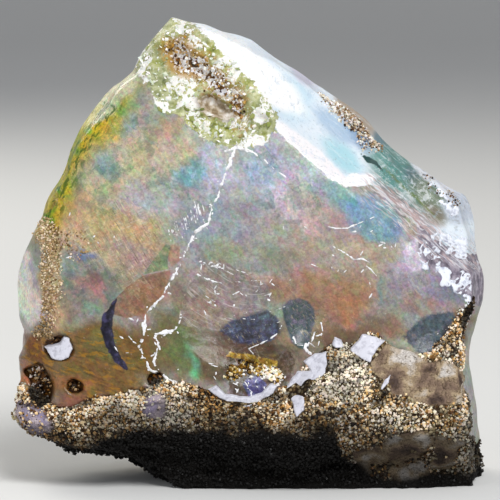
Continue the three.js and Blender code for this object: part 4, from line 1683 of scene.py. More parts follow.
@dataclass(frozen=True)
class ChalkFinish(Finish):
    """Dead white chalky opal of the cracks and plates, and the white of the painted glints, with painted
    shade that greys its hollows.
    """

    name: str
    light: str
    dark: str
    roughness: float = 0.4

    def dress(self, graph: Dressing) -> None:
        """Draws the chalk.

        Args:
            graph: The material's nodes.
        """
        swell = graph.swell(graph.place, 1.6, 4, 0.6)
        # Painted shade: the colour greys where the bump below is lowest, in the hollows.
        colour = graph.ramp(swell, ((0.3, self.dark), (0.5, self.light), (1.0, self.light)))
        graph.finish({
            "Base Color": colour, "Roughness": self.roughness, "Normal": graph.bump(swell, 0.2 * MM),
            "Subsurface Weight": 0.15, "Subsurface Radius": (1.0, 1.0, 1.0), "Subsurface Scale": 0.4 * MM,
        })


# Pieces


@dataclass(frozen=True)
class Region:
    """An area of the big face with a crisp border and its own colours."""

    outline: Line
    stops: Stops
    strength: float = 0.85
    soft: float = 0.06
    ragged: float = 0.24


BEAN = Region(
    (
        (-5.5, 41.9), (-4.7, 42.6), (-3.4, 42.0), (-2.2, 41.3), (-1.3, 40.3), (-1.9, 39.8), (-3.2, 40.1),
        (-4.7, 40.6),
    ),
    ((0.36, "8a7658"), (0.48, "bfae94"), (0.58, "dcd2c6"), (0.7, "f8f4f0")),
)
REGIONS = {
    "great_shell": Region(
        (
            (-5.6, 23.3), (-6.6, 21.6), (-7.1, 19.6), (-7.5, 17.9), (-5, 17.1), (-2.9, 17.0), (-1.8, 18),
            (0.3, 18.6), (2.0, 19.3), (2.7, 21.1), (1.5, 22.4), (-0.6, 23.4), (-2.6, 24.9), (-4.4, 24.6),
        ),
        ((0.35, "6a5a50"), (0.5, "8c7c72"), (0.66, "a59a94")), 0.6,
    ),
    "ochre_scale": Region(
        (
            (-22.3, 31.8), (-21.4, 32.1), (-20.8, 31.6), (-20.9, 30.8), (-21.6, 29.7), (-22.6, 29.2),
            (-22.4, 30.4),
        ),
        ((0.35, "7a6222"), (0.5, "a08836"), (0.66, "c0a854")), 0.9,
    ),
    "dark_pocket": Region(
        (
            (-2.2, 14.3), (0.1, 14.8), (2.9, 14.3), (4.8, 15.0), (5.4, 13.4), (4.3, 11.4), (2.4, 10.4),
            (-0.3, 9.6), (-1.8, 10.2), (-2.2, 12.1),
        ),
        ((0.35, "221811"), (0.48, "4a3722"), (0.6, "6f655c"), (0.72, "938a94")), 0.85, 0.1, 2.0,
    ),
    "gold_line": Region(
        (
            (-2.3, 14.3), (-1.9, 14.7), (0.2, 14.5), (2.2, 14.0), (3.4, 13.7), (3.3, 13.2), (1.6, 13.3),
            (-0.4, 13.9),
        ),
        ((0.35, "5c430c"), (0.48, "9c7a1c"), (0.6, "c9a640"), (0.7, "eadfb0")), 0.9, 0.06, 0.7,
    ),
    "violet_lens": Region(
        ((-0.5, 11.3), (0.2, 12.2), (1.4, 12.1), (2.2, 11.3), (1.6, 10.3), (0.2, 10.0)),
        ((0.35, "33304f"), (0.5, "575689"), (0.66, "8c8ab4")), 0.9,
    ),
    "brown_facet": Region(
        (
            (-15.0, 19.9), (-13.4, 21.6), (-11.5, 23), (-8.2, 23.7), (-8.9, 21.8), (-9.6, 20.5),
            (-11.2, 18.9), (-13.2, 18.4), (-14.8, 18.8),
        ),
        ((0.35, "6f4a30"), (0.5, "8e6648"), (0.66, "a5806a")), 0.75,
    ),
    "green_facet": Region(
        ((-8.9, 26.5), (-8.1, 26.2), (-8.7, 24.9), (-8.6, 23.8), (-11.5, 23.1)),
        ((0.35, "4f6e50"), (0.5, "6f8a62"), (0.66, "93986c")), 0.8,
    ),
    "red_facet": Region(
        ((-8.3, 26.5), (-7.3, 26.2), (-7.4, 24.6), (-8.2, 23.9), (-8.7, 24.9)),
        ((0.35, "8e6048"), (0.5, "a8745c"), (0.66, "b98f6c")), 0.65, 0.12,
    ),
    "indigo_lens": Region(
        (
            (-3.0, 17.0), (-1.8, 18.1), (0.3, 18.7), (2.0, 19.4), (3.0, 19.0), (3.7, 17.8), (3.6, 16.8),
            (2.5, 16.0), (1.6, 15.8), (-0.2, 15.5), (-1.5, 15.9), (-2.3, 16.5),
        ),
        ((0.34, "171a20"), (0.44, "2f3643"), (0.53, "3e4464"), (0.62, "526a7a"), (0.72, "9d98b8")),
        0.9, 0.2, 0.9,
    ),
    "teal_oval": Region(
        (
            (3.8, 19.6), (4.6, 20.4), (5.8, 20.6), (6.8, 20.2), (7.4, 19.3), (7.5, 18.2), (7.1, 17.1),
            (6.7, 15.1), (5.6, 15.2), (4.9, 15.9), (4.5, 17), (4.0, 18.4),
        ),
        ((0.34, "233338"), (0.46, "39525a"), (0.58, "575b68"), (0.7, "857e92")), 0.9, 0.14, 0.5,
    ),
    "blue_window": Region(
        (
            (17.0, 16.4), (18.3, 17.6), (19.4, 18.4), (20.7, 18.9), (22.4, 19.1), (22.9, 18.4), (22.2, 17.0),
            (21.6, 14.4), (20.2, 13.5), (19.0, 14.5), (17.8, 15.6),
        ),
        ((0.34, "1e282e"), (0.47, "384858"), (0.56, "4c5c6c"), (0.68, "746c70")), 0.9, 0.2, 1.4,
    ),
    "lilac_lobe": Region(
        (
            (17.1, 25.6), (17.6, 26.4), (18.3, 26.9), (18.9, 26.9), (19.4, 26.1), (19.6, 24.8), (19.2, 23.7),
            (18.3, 23.4), (17.4, 24.2),
        ),
        ((0.3, "c0b6c6"), (0.5, "d2c9d6"), (0.7, "e4dee8")), 0.9, 0.12, 0.1,
    ),
}


@dataclass
class OpalBody:
    """The opal itself, with the signed distances that its finish draws its borders by."""

    fields: StoneFields
    finish: OpalFinish = OpalFinish()
    face_base: str = "8d8a80"
    bevel_base: str = "e2ebf3"
    body_base: str = "a39c86"
    rim_gold: str = "cdae22"
    rim_green: str = "6f9c24"
    rim_pale: str = "cfcaa4"
    face_gain: float = 1.26
    face_colourfulness: float = 0.82
    blotches: tuple[Bowl, ...] = (
        Bowl(-14.5, 35.5, 6, 8, 1), Bowl(-7, 33.5, 4.5, 3.6, 1), Bowl(4, 32.5, 7, 3.6, 1, -40),
        Bowl(-17, 21.5, 4, 4, 1),
    )
    teal_mottles: Bowl = Bowl(18.2, 33, 6.4, 3.2, 1, -42)
    knob_mottles: Bowl = Bowl(23.6, 29.8, 3.4, 2.8, 1, -42)
    honey: Bowl = Bowl(-18.2, 13.2, 8.4, 4.6, 1)
    ochre: Bowl = Bowl(-6.9, 46.4, 3.4, 2.2, 1, -30)
    scratches: Bowl = Bowl(-14, 27, 7, 5.5, 1, -15)
    thin_lines: tuple[Stroke, ...] = (
        (
            (-4.8, 24.3, 0.03), (-5.7, 23.3, 0.07), (-6.5, 21.9, 0.08), (-7.0, 20.4, 0.08),
            (-7.3, 18.9, 0.07), (-7.5, 17.9, 0.05),
        ),
        ((6.6, 25.6, 0.03), (5.4, 24.0, 0.06), (4.3, 22.6, 0.04)),
        ((19.7, 24.6, 0.03), (19.1, 22.6, 0.06), (17.6, 20.4, 0.03)),
        ((15.6, 22.8, 0.03), (15.9, 21.2, 0.05), (15.6, 19.4, 0.03)),
    )

    def skin(self) -> Skin:
        """Skins the opal and marks its regions.

        Returns:
            The mesh.
        """
        form = self.fields.form
        skin = self.fields.skin(self.fields.opal())
        x, y, z = skin.vertices.T
        front, shoulder, patch = y - form.skin_front(x, z), form.shoulder(x, z), form.patch(x, z)
        reach = form.pit_reach(x, z).max(axis=0)
        skin.marks = {
            "front": front,
            "shoulder": shoulder,
            "corner": np.minimum(form.corner(x, z), 1.2 * (x - 18.8)),
            "ledge": smooth_step(x, 11.8, 13.5) * smooth_step(np.abs(shoulder + 0.2), 1.9, 1.1),
            "nick": stroke_depth(form.nick, x, z),
            "mottled": np.maximum(
                0.7 * smooth_step(self.teal_mottles.reach(x, z), 0, 0.6),
                0.55 * smooth_step(self.knob_mottles.reach(x, z), 0, 0.5),
            ),
            "scratched": self.scratched(x, z),
            "honey": self.honey.reach(x, z),
            "blotched": np.max([area.reach(x, z) for area in self.blotches], axis=0),
            "patch": patch,
            "ochre": self.ochre.reach(x, z),
            "rim": form.inset(x, z) + 6 * np.maximum(
                smooth_step(x, -15, -9), 1 - smooth_step(z, 26, 30) + smooth_step(z, 41, 42.5)
            ),
            "face_tint": self.face_tint(x, z),
            "bevel_tint": self.bevel_tint(x, z),
            "body_tint": self.body_tint(x, y, z),
            "vug": form.vug_distance(x, z),
            "crescent": stroke_depth(form.crescent, x, z),
            "thin_lines": np.max([stroke_depth(line, x, z) for line in self.thin_lines], axis=0),
            "pits": np.where((patch > 0) | (front > 1.5), -1.0, reach),
            "bean": depth_inside(BEAN.outline, x, z),
        }
        skin.marks |= {name: depth_inside(region.outline, x, z) for name, region in REGIONS.items()}
        return skin

    def face_tint(self, x: Array, z: Array) -> Array:
        """Gives the big face's soft tints, with the yellow-green glass of the left rim.

        Args:
            x: Places along x.
            z: Places along z.

        Returns:
            The linear colour at each place.
        """
        moved_x, moved_z = brushed(x, z, -50, 1.1, 71.5)
        colour = lay_clouds(self.face_base, FACE_CLOUDS, moved_x, moved_z)
        colour *= play_of_colour(x, z, 3.2, 0.14, 81.5) * play_of_colour(moved_x, moved_z, 1.3, 0.13, 121.5)
        grey = colour.mean(axis=1, keepdims=True)
        colour = self.face_gain * (grey + self.face_colourfulness * (colour - grey))
        inset = self.fields.form.inset(x, z)
        share = smooth_step(inset + 0.8 * layered_noise(x, z, 2.0, 2, 91.5), 3.6, 0.8)
        share *= (1 - smooth_step(x, -14, -9)) * smooth_step(z, 25.5, 28.5)
        green = smooth_step(layered_noise(x, z, 2.2, 3, 95.5), -0.25, 0.35)[:, None]
        rim = (1 - green) * hex_colour(self.rim_gold) + green * hex_colour(self.rim_green)
        pale = smooth_step(z, 38, 41)
        ragged = inset + 0.5 * layered_noise(x, z, 1.6, 2, 97.5)
        edge = smooth_step(ragged, 0.2 + 1.6 * pale, 1.1 * pale - 0.1)
        rim += edge[:, None] * (hex_colour(self.rim_pale) - rim)
        return colour + share[:, None] * (rim - colour)

    def scratched(self, x: Array, z: Array) -> Array:
        """Gives how much of the fine scratches shows: most on the gold field, little elsewhere."""
        gold = smooth_step(self.scratches.reach(x, z) + 0.5 * layered_noise(x, z, 2.2, 2, 33.5), 0.1, 0.7)
        return np.maximum(gold, 0.5 * smooth_step(layered_noise(x, z, 3.6, 2, 36.5), 0.1, 0.6))

    def bevel_tint(self, x: Array, z: Array) -> Array:
        """Gives the shoulder's soft tints."""
        return lay_clouds(self.bevel_base, BEVEL_CLOUDS, *brushed(x, z, -42, 0.45, 131.5))

    def body_tint(self, x: Array, y: Array, z: Array) -> Array:
        """Gives the soft tints of the broken sides and back.

        Args:
            x: Places along x.
            y: Places along y.
            z: Places along z.

        Returns:
            The linear colour at each place.
        """
        lifted = z - 0.3 * y + layered_noise(y, z, 5.0, 3, 141.5)
        colour = lay_clouds(self.body_base, BODY_CLOUDS, *brushed(x, lifted, 30, 1.5, 151.5))
        return colour * play_of_colour(x + y, z - 0.4 * x, 3.5, 0.3, 161.5)


@dataclass(frozen=True)
class Scatter:
    """How grains lie on a surface: the chance at each vertex, their sizes and how deep they sit."""

    chance: float
    smallest: float
    largest: float
    seed: int
    sunk: float = 0.25
    rounds: int = 1
    flat: float = 1.0
    drift: float = 0.3


def sharp_grain() -> tuple[Array, Array]:
    """Gives an octahedron's corners and faces.

    Returns:
        The corners, and each face as three of their numbers.
    """
    corners = np.array([(1, 0, 0), (0, 1, 0), (0, 0, 1), (-1, 0, 0), (0, -1, 0), (0, 0, -1)], float)
    faces = []
    for a in (0, 3):
        for b in (1, 4):
            for c in (2, 5):
                turned = np.dot(corners[a], np.cross(corners[b], corners[c])) > 0
                faces.append((a, b, c) if turned else (a, c, b))
    return corners, np.array(faces)


def scatter_grains(ground: Skin, weight: Array, scatter: Scatter) -> Skin:
    """Strews angular grains over a mesh.

    Args:
        ground: The mesh that they lie on.
        weight: The share of the full chance at each of its vertices.
        scatter: How they lie, how flat they are and how far their tints lean by place.

    Returns:
        All grains in one mesh, with a tint at each vertex.
    """
    rng = np.random.default_rng(scatter.seed)
    normals = ground.normals()
    chosen = np.concatenate([
        np.flatnonzero(rng.random(len(weight)) < weight * scatter.chance) for _ in range(scatter.rounds)
    ])
    count = len(chosen)
    sizes = scatter.smallest + (scatter.largest - scatter.smallest) * rng.random(count) ** 2
    middles = ground.vertices[chosen] + rng.uniform(-0.14, 0.14, (count, 3))
    middles += normals[chosen] * (sizes * (0.5 - scatter.sunk))[:, None]
    corners, faces = sharp_grain()
    turns = np.linalg.qr(rng.normal(size=(count, 3, 3)))[0]
    turns *= np.sign(np.linalg.det(turns))[:, None, None]
    stretch = rng.uniform(0.65, 1.25, (count, 1, 3)) * (1.0, 1.0, scatter.flat)
    jitter = 1 + rng.uniform(-0.22, 0.22, (count, len(corners), 1))
    shaped = corners * stretch * jitter * sizes[:, None, None]
    vertices = np.einsum("nij,nkj->nki", turns, shaped) + middles[:, None]
    vertices[..., 2] = np.maximum(vertices[..., 2], 0)
    starts = np.arange(count)[:, None, None] * len(corners)
    leaning = scatter.drift * layered_noise(middles[:, 0], middles[:, 2], 4.0, 2, scatter.seed)
    leaning += ground.marks.get("lean", np.zeros(len(weight)))[chosen]
    tint = np.clip(rng.random(count) + leaning, 0, 1)
    shade = ground.marks.get("shade", np.zeros(len(weight)))[chosen]
    marks = {"tint": np.repeat(tint, len(corners)), "shade": np.repeat(shade, len(corners))}
    return Skin(vertices.reshape(-1, 3), (faces + starts).reshape(-1, 3), marks)


@dataclass(frozen=True)
class Inlay:
    """A thin plate or crack filling that follows the stone's front."""

    depth: Callable[[Array, Array], Array]
    box: tuple[float, float, float, float]
    height: float = 0.07
    edge: float = 0.1
    sink: float = 0.15
    cell: float = 0.1

    def skin(self, surface: Callable[[Array, Array], Array]) -> Skin:
        """Skins the plate.

        Args:
            surface: Gives the y of what the plate lies on, from x and z.

        Returns:
            The plate, closed on all sides.
        """
        left, right, foot, top = self.box
        xs = np.arange(left - 3 * self.cell, right + 3 * self.cell, self.cell)
        zs = np.arange(foot - 3 * self.cell, top + 3 * self.cell, self.cell)
        x, z = np.meshgrid(xs, zs, indexing="ij")
        depth = self.depth(x, z)
        depth[0, :] = depth[-1, :] = depth[:, 0] = depth[:, -1] = -1
        base = surface(x, z)
        outer = base - self.height * smooth_step(depth, 0, self.edge)
        near = depth > -2 * self.cell
        last = base[near].max() + self.sink + 3 * self.cell
        ys = np.arange(outer[near].min() - 2 * self.cell, last, self.cell)
        y = ys[None, :, None]
        ends = np.maximum(outer[:, None, :] - y, y - base[:, None, :] - self.sink)
        low = np.array([xs[0], ys[0], zs[0]])
        return surface_net(np.maximum(ends, -depth[:, None, :]), low, self.cell)


def box_around(points: Line | Stroke, spare: float) -> tuple[float, float, float, float]:
    """Gives the left, right, foot and top of a box around some points, with room to spare."""
    xs, zs = [point[0] for point in points], [point[1] for point in points]
    return min(xs) - spare, max(xs) + spare, min(zs) - spare, max(zs) + spare


def stroke_inlay(stroke: Stroke, height: float = 0.06, ragged: float = 0.1) -> Inlay:
    """Makes a crack filling along a stroke, with ragged sides and small breaks.

    Args:
        stroke: The crack's points as x, z and half width.
        height: How far it stands out.
        ragged: How ragged its sides are.

    Returns:
        The filling.
    """
    halves = [point[2] for point in stroke]
    usual = sum(halves) / len(halves)
    ragged *= min(1, usual / 0.14)
    cell = min(max(0.6 * usual, 0.05), 0.08)

    def depth(x: Array, z: Array) -> Array:
        """Gives the depth inside the ragged stroke."""
        fine, wide = layered_noise(x, z, 0.34, 2, 12.5), layered_noise(x, z, 1.7, 1, 15.5)
        return stroke_depth(stroke, x, z) + ragged * (2.2 * fine + 0.6 * wide + 0.25)

    return Inlay(depth, box_around(stroke, max(halves) + 0.2), height, cell=cell)


@dataclass
class CrackVeinsAndGlints:
    """White fillings of the cracks, comb marks beside them, and painted glints: white marks on the shell's
    edges and about the face that stand for light caught there.
    """

    form: StoneForm
    finish: ChalkFinish = ChalkFinish("crack_chalk_and_glints", "f4f4f6", "aaa6a4")
    strokes: tuple[Stroke, ...] = (
        (
            (-1.1, 37.4, 0.20), (-1.8, 35.5, 0.14), (-2.5, 33.9, 0.10), (-3.2, 31.6, 0.16),
            (-3.9, 30.6, 0.08), (-4.2, 28.8, 0.11), (-5.5, 27.9, 0.20), (-6.3, 26.6, 0.05),
            (-7.2, 24.6, 0.05), (-7.9, 23.2, 0.09), (-8.8, 21.8, 0.08), (-9.3, 20.7, 0.12),
            (-10.4, 19.7, 0.09), (-11.1, 18.8, 0.12), (-11.3, 17.3, 0.28), (-11.3, 16.3, 0.12),
            (-11.8, 15.4, 0.12), (-11, 13.8, 0.06), (-10.7, 12.9, 0.09), (-9.3, 12.2, 0.09),
            (-7.7, 11.5, 0.16),
        ),
        (
            (-7.1, 18.8, 0.04), (-7.4, 17.9, 0.06), (-7.9, 17.2, 0.1), (-8.9, 16.9, 0.22),
            (-10.2, 16.7, 0.08), (-9.7, 15.8, 0.05), (-9.9, 14.7, 0.1), (-10.2, 13.7, 0.07),
            (-10, 13.2, 0.04),
        ),
        ((-13.2, 16.7, 0.03), (-12.4, 15.8, 0.07), (-11.6, 15.4, 0.05)),
        (
            (-2.4, 36.6, 0.08), (-0.9, 37, 0.22), (0.4, 36.6, 0.12), (1.8, 35.7, 0.06), (3.2, 34.5, 0.05),
            (4.8, 33.4, 0.04),
        ),
        ((8.9, 28.4, 0.04), (9.7, 28.2, 0.07), (11, 28.2, 0.05), (12.2, 28.7, 0.07), (13.9, 29.4, 0.03)),
        ((9.5, 26.2, 0.03), (10.8, 25.5, 0.07), (11.7, 24.8, 0.09), (12.6, 24.9, 0.07), (13.4, 24.5, 0.04)),
        ((13.1, 24.1, 0.05), (13.6, 23.7, 0.06), (14.2, 23, 0.03)),
        # The next six strokes are painted glints: white marks for light caught on the edges of the shell and
        # the teal oval.
        ((3.8, 17.7, 0.05), (3.2, 16.7, 0.08), (1.7, 15.8, 0.06), (0.2, 15.1, 0.05), (0.7, 14.5, 0.03)),
        ((-5.4, 23.2, 0.1), (-4.5, 22.7, 0.11), (-3.7, 22.4, 0.07), (-2.8, 22.2, 0.05)),
        ((5.1, 16.3, 0.12), (5.3, 15.9, 0.1)),
        ((6.5, 15.7, 0.09), (6.4, 15.2, 0.18), (6.7, 14.8, 0.14), (7.0, 14.6, 0.06)),
        ((8.1, 17.9, 0.07), (8.3, 17.2, 0.09), (8.1, 16.7, 0.05)),
        ((7.4, 16.9, 0.05), (7.2, 16.2, 0.12), (7.0, 15.8, 0.05)),
        ((-0.3, 11.6, 0.05), (0.3, 10.9, 0.06), (0.5, 10.1, 0.09)),
        ((4.3, 12.2, 0.05), (3.2, 11.2, 0.08), (2.6, 10.8, 0.1)),
        ((22.2, 17.3, 0.03), (20.9, 16.6, 0.05)),
    )
    arc_centre: tuple[float, float] = (0.5, 27.5)
    arc_radii: tuple[float, float] = (4.0, 10.0)
    arc_turns: tuple[float, float] = (230, 285)
    arc_count: int = 12
    comb_start: tuple[float, float] = (-5.0, 30.6)
    comb_end: tuple[float, float] = (-8.6, 27.0)
    comb_count: int = 26
    comb_half: float = 0.035
    # Areas strewn with painted glints: x, z, half width, half height and count.
    glint_areas: tuple[tuple[float, float, float, float, int], ...] = (
        (-3.8, 24.3, 1.3, 0.5, 16), (-2.2, 20.2, 2.6, 1.6, 14), (2.2, 21.6, 1.6, 1.2, 8),
        (7.0, 16.6, 1.2, 1.2, 6), (-18.5, 27, 4, 3, 8), (14.5, 26.5, 3, 2.2, 10), (0.5, 11.2, 1.8, 0.8, 12),
        (-12.5, 17, 3, 3, 8), (8, 24, 6, 5, 12), (-6, 13, 3, 2, 8),
    )
    crumbs_to_a_millimetre: float = 2.6

    def combs(self) -> list[Stroke]:
        """Gives the short comb marks left of the main crack.

        Returns:
            The marks as strokes.
        """
        rng = np.random.default_rng(5)
        (ax, az), (bx, bz) = self.comb_start, self.comb_end
        made = []
        for share in np.linspace(0, 1, self.comb_count):
            x = ax + share * (bx - ax) + rng.uniform(-0.15, 0.15)
            z = az + share * (bz - az) + rng.uniform(-0.25, 0.25)
            length, half = rng.uniform(0.8, 2.0), self.comb_half
            top = (x - 0.1 * length, z + 0.5 * length, half)
            made.append((top, (x + 0.15 * length, z - 0.5 * length, half)))
        return made

    def arcs(self) -> list[Stroke]:
        """Gives the short fine arcs of the conchoidal shell.

        Returns:
            The arcs as strokes.
        """
        rng = np.random.default_rng(29)
        made = []
        for _ in range(self.arc_count):
            radius, start = rng.uniform(*self.arc_radii), rng.uniform(*map(math.radians, self.arc_turns))
            turns = start + np.linspace(0, rng.uniform(0.8, 2.6) / radius, 5)
            x, z = self.arc_centre
            half = rng.uniform(0.02, 0.035)
            made.append([(x + radius * math.cos(turn), z + radius * math.sin(turn), half) for turn in turns])
        return made

    def chips(self) -> list[Stroke]:
        """Gives the tiny white marks that lie about in some areas: painted glints, standing for light caught
        on the face.

        Returns:
            The glints as strokes.
        """
        rng = np.random.default_rng(11)
        made = []
        for x, z, half_x, half_z, count in self.glint_areas:
            for _ in range(count):
                cx, cz = x + half_x * rng.uniform(-1, 1), z + half_z * rng.uniform(-1, 1)
                length, angle = rng.uniform(0.1, 0.45), rng.uniform(0, math.pi)
                dx, dz = length * math.cos(angle), length * math.sin(angle)
                middle = (cx, cz, rng.uniform(0.06, 0.1))
                made.append(((cx - dx, cz - dz, 0.03), middle, (cx + dx, cz + dz, 0.03)))
        return made

    def crumbs(self) -> list[Stroke]:
        """Gives the crumbs that lie along the two main cracks.

        Returns:
            The crumbs as strokes.
        """
        rng = np.random.default_rng(17)
        made = []
        for stroke in self.strokes[:2]:
            for (ax, az, a_half), (bx, bz, b_half) in zip(stroke, stroke[1:]):
                for _ in range(round(self.crumbs_to_a_millimetre * math.hypot(bx - ax, bz - az))):
                    share, spread = rng.random(), 0.12 + (a_half + b_half) / 2
                    x = ax + share * (bx - ax) + rng.normal(0, spread)
                    z = az + share * (bz - az) + rng.normal(0, spread)
                    length, angle = rng.uniform(0.04, 0.16), rng.uniform(0, math.pi)
                    dx, dz = length * math.cos(angle), length * math.sin(angle)
                    made.append(((x - dx, z - dz, 0.05), (x + dx, z + dz, rng.uniform(0.05, 0.1))))
        return made

    def skin(self) -> Skin:
        """Skins all of them into one mesh."""
        strokes = [*self.strokes, *self.combs(), *self.arcs(), *self.chips(), *self.crumbs()]
        return joined([stroke_inlay(stroke).skin(self.form.skin_front) for stroke in strokes])


@dataclass
class ChalkPlates:
    """White broken plates where the face meets the crust, and the chip in the left cavity."""

    form: StoneForm
    finish: ChalkFinish = ChalkFinish("plate_chalk", "d2d2dc", "a9a8b4", 0.35)
    outlines: tuple[tuple[Line, float], ...] = (
        (
            (
                (-4.4, 10.8), (-3.4, 11.2), (-2.4, 10.3), (-1.4, 10.1), (0.3, 9.9), (1.7, 10.5), (2.7, 11.4),
                (3.3, 11.2), (2.8, 10.4), (1.5, 9.6), (0.2, 9.0), (-1.6, 9.1), (-3.0, 9.9),
            ),
            0.45,
        ),
        (
            (
                (4.2, 11.0), (5.5, 12.6), (7.1, 12.9), (6.2, 13.8), (7.4, 14.6), (8.6, 14.9), (8.9, 13.2),
                (8, 12.3), (6.9, 11.8), (6.2, 10.5), (6.3, 8.9), (5.4, 8.3), (4.9, 9.5),
            ),
            0.45,
        ),
        (
            (
                (11.2, 15.0), (11.9, 15.9), (12.7, 16.7), (14.1, 16.5), (15.2, 16.0), (14.5, 15.5),
                (13.8, 14.7), (13.4, 13.9), (12.3, 14.4),
            ),
            0.4,
        ),
        (((14.4, 11.2), (15, 12.2), (15.6, 12.6), (15.4, 11.8), (14.7, 11.1)), 0.5),
        (((9.2, 15.6), (9.6, 16.4), (10.3, 16.1), (10.6, 15.4), (9.8, 15.3)), 0.45),
    )
    chip: Line = (
        (-22.3, 15), (-21.3, 15.2), (-20.6, 15.4), (-20.1, 16.3), (-19.5, 16.1), (-19.1, 14.9), (-19.6, 14),
        (-20.3, 13.6), (-21.4, 13.8),
    )
    chip_height: float = 1.0

    def cover(self, x: Array, z: Array) -> Array:
        """Gives how deep each place is inside the nearest plate, and negative depths outside them."""
        return np.max([depth_inside(outline, x, z) for outline, _ in self.outlines], axis=0)

    def ground(self, x: Array, z: Array) -> Array:
        """Gives the y of the smooth ground that the plates lie on."""
        return np.minimum(self.form.opal_front(x, z), self.form.rock_front(x, z))

    @staticmethod
    def plate(outline: Line, height: float) -> Inlay:
        """Makes one plate from its outline.

        Args:
            outline: The outline's corners.
            height: How far it stands out.

        Returns:
            The plate.
        """

        def depth(x: Array, z: Array) -> Array:
            """Gives the depth inside the chipped outline."""
            return depth_inside(outline, x, z) + 0.06 + 0.1 * layered_noise(x, z, 0.8, 3, 21.5)

        return Inlay(depth, box_around(outline, 0.4), height, 0.12, 0.9)

    def skin(self) -> Skin:
        """Skins the plates and the chip.

        Returns:
            The mesh.
        """
        plates = [self.plate(outline, height).skin(self.ground) for outline, height in self.outlines]
        chip = self.plate(self.chip, self.chip_height).skin(lambda x, z: self.form.opal_front(x, z) + 0.85)
        return joined([*plates, chip])


@dataclass
class FoilFlakes:
    """Silvery white flakes that cling to the broken corner."""

    form: StoneForm
    finish: ChalkFinish = ChalkFinish("flake_white", "e6eaf4", "9ea2b6", 0.3)
    areas: tuple[tuple[Line, float], ...] = (
        (
            (
                (20.4, 27.1), (21.1, 27.1), (21.8, 26.5), (23.0, 26.2), (23.6, 26.5), (24.4, 25.5),
                (24.9, 24.6), (25.5, 24.0), (25.8, 23.2), (25.3, 23.5), (24.2, 24.4), (23.3, 24.7),
                (22.3, 25.6), (21.2, 26.2),
            ),
            -0.35,
        ),
        (
            (
                (21.2, 23.8), (21.8, 23.3), (23.0, 22.9), (23.8, 23.1), (24.7, 22.4), (25.7, 22.1),
                (24.8, 21.5), (24.8, 20.5), (24.4, 19.9), (23.6, 20.9), (22.9, 21.4), (22.4, 22.3),
                (21.3, 22.1), (21.3, 22.8),
            ),
            -0.3,
        ),
        (((20.5, 24.9), (21.4, 24.8), (21.4, 23.8), (20.7, 24.0)), -0.3),
        (
            (
                (18.0, 26.7), (18.7, 26.6), (20.4, 26.3), (21.1, 25.4), (20.0, 25.5), (19.7, 24.4),
                (19.4, 24.0), (18.7, 25.4),
            ),
            -0.05,
        ),
        (((18.0, 35.3), (19.0, 34.9), (19.9, 34.4), (19.9, 33.7), (19.4, 33.1), (18.7, 34.0)), -0.4),
        (
            (
                (20.0, 33.7), (21.7, 33.2), (23.2, 31.7), (23.0, 31.0), (22.0, 31.2), (21.3, 31.6),
                (20.4, 32.4),
            ),
            -0.4,
        ),
        (
            (
                (21.7, 30.7), (23.3, 31.3), (24.3, 31.2), (25.3, 30.2), (25.6, 29.2), (25.6, 27.3),
                (23.6, 27.3), (24.1, 28.2), (23.0, 29.0), (22.2, 29.8),
            ),
            -0.15,
        ),
    )

    def flake(self, outline: Line, gaps: float, seed: float) -> Inlay:
        """Makes the torn flakes of one area.

        Args:
            outline: The outline's corners.
            gaps: How much of the area is torn away.
            seed: Picks one of many patterns.

        Returns:
            The flakes.
        """

        def depth(x: Array, z: Array) -> Array:
            """Gives the depth inside the flakes.

            Args:
                x: Places along x.
                z: Places along z.

            Returns:
                The depth at each place.
            """
            torn = layered_noise((x + z) * 0.6, (z - x) * 0.8, 1.3, 4, seed) - gaps
            holes = 0.25 * (layered_noise((x + z) * 0.5, (z - x) * 0.9, 0.42, 3, seed + 3) + 0.22)
            inside = np.minimum(depth_inside(outline, x, z) + 0.65 * torn, self.form.front_inset(x, z) - 0.1)
            return np.minimum(np.minimum(inside, holes), 0.3 * torn + 0.05)

        return Inlay(depth, box_around(outline, 0.3), 0.09, 0.06)

    def skin(self) -> Skin:
        """Skins the flakes."""
        flakes = [self.flake(outline, gaps, 40.5 + 7 * n) for n, (outline, gaps) in enumerate(self.areas)]
        return joined([flake.skin(self.form.skin_front) for flake in flakes])


@dataclass(frozen=True)
class GrainZone:
    """Grains of one kind on one zone of the stone."""

    name: str
    scatter: Scatter
    stops: Stops
    roughness: float = 0.35
    slot: Slot = Slot.OPAL

    def lay(self, bench: Bench, effects: Effects, ground: Skin, weight: Array) -> None:
        """Strews the grains over the ground and lays them into the scene.

        Args:
            bench: Lays meshes into the scene.
            effects: The shared node groups.
            ground: The mesh that they lie on.
            weight: The share of the full chance at each of its vertices.
        """
        finish = GrainFinish(self.name.removesuffix("s"), self.stops, self.roughness)
        grains = scatter_grains(ground, weight, self.scatter)
        bench.lay(self.name, grains, finish.build(effects, bench.centre), self.slot, smooth=False)


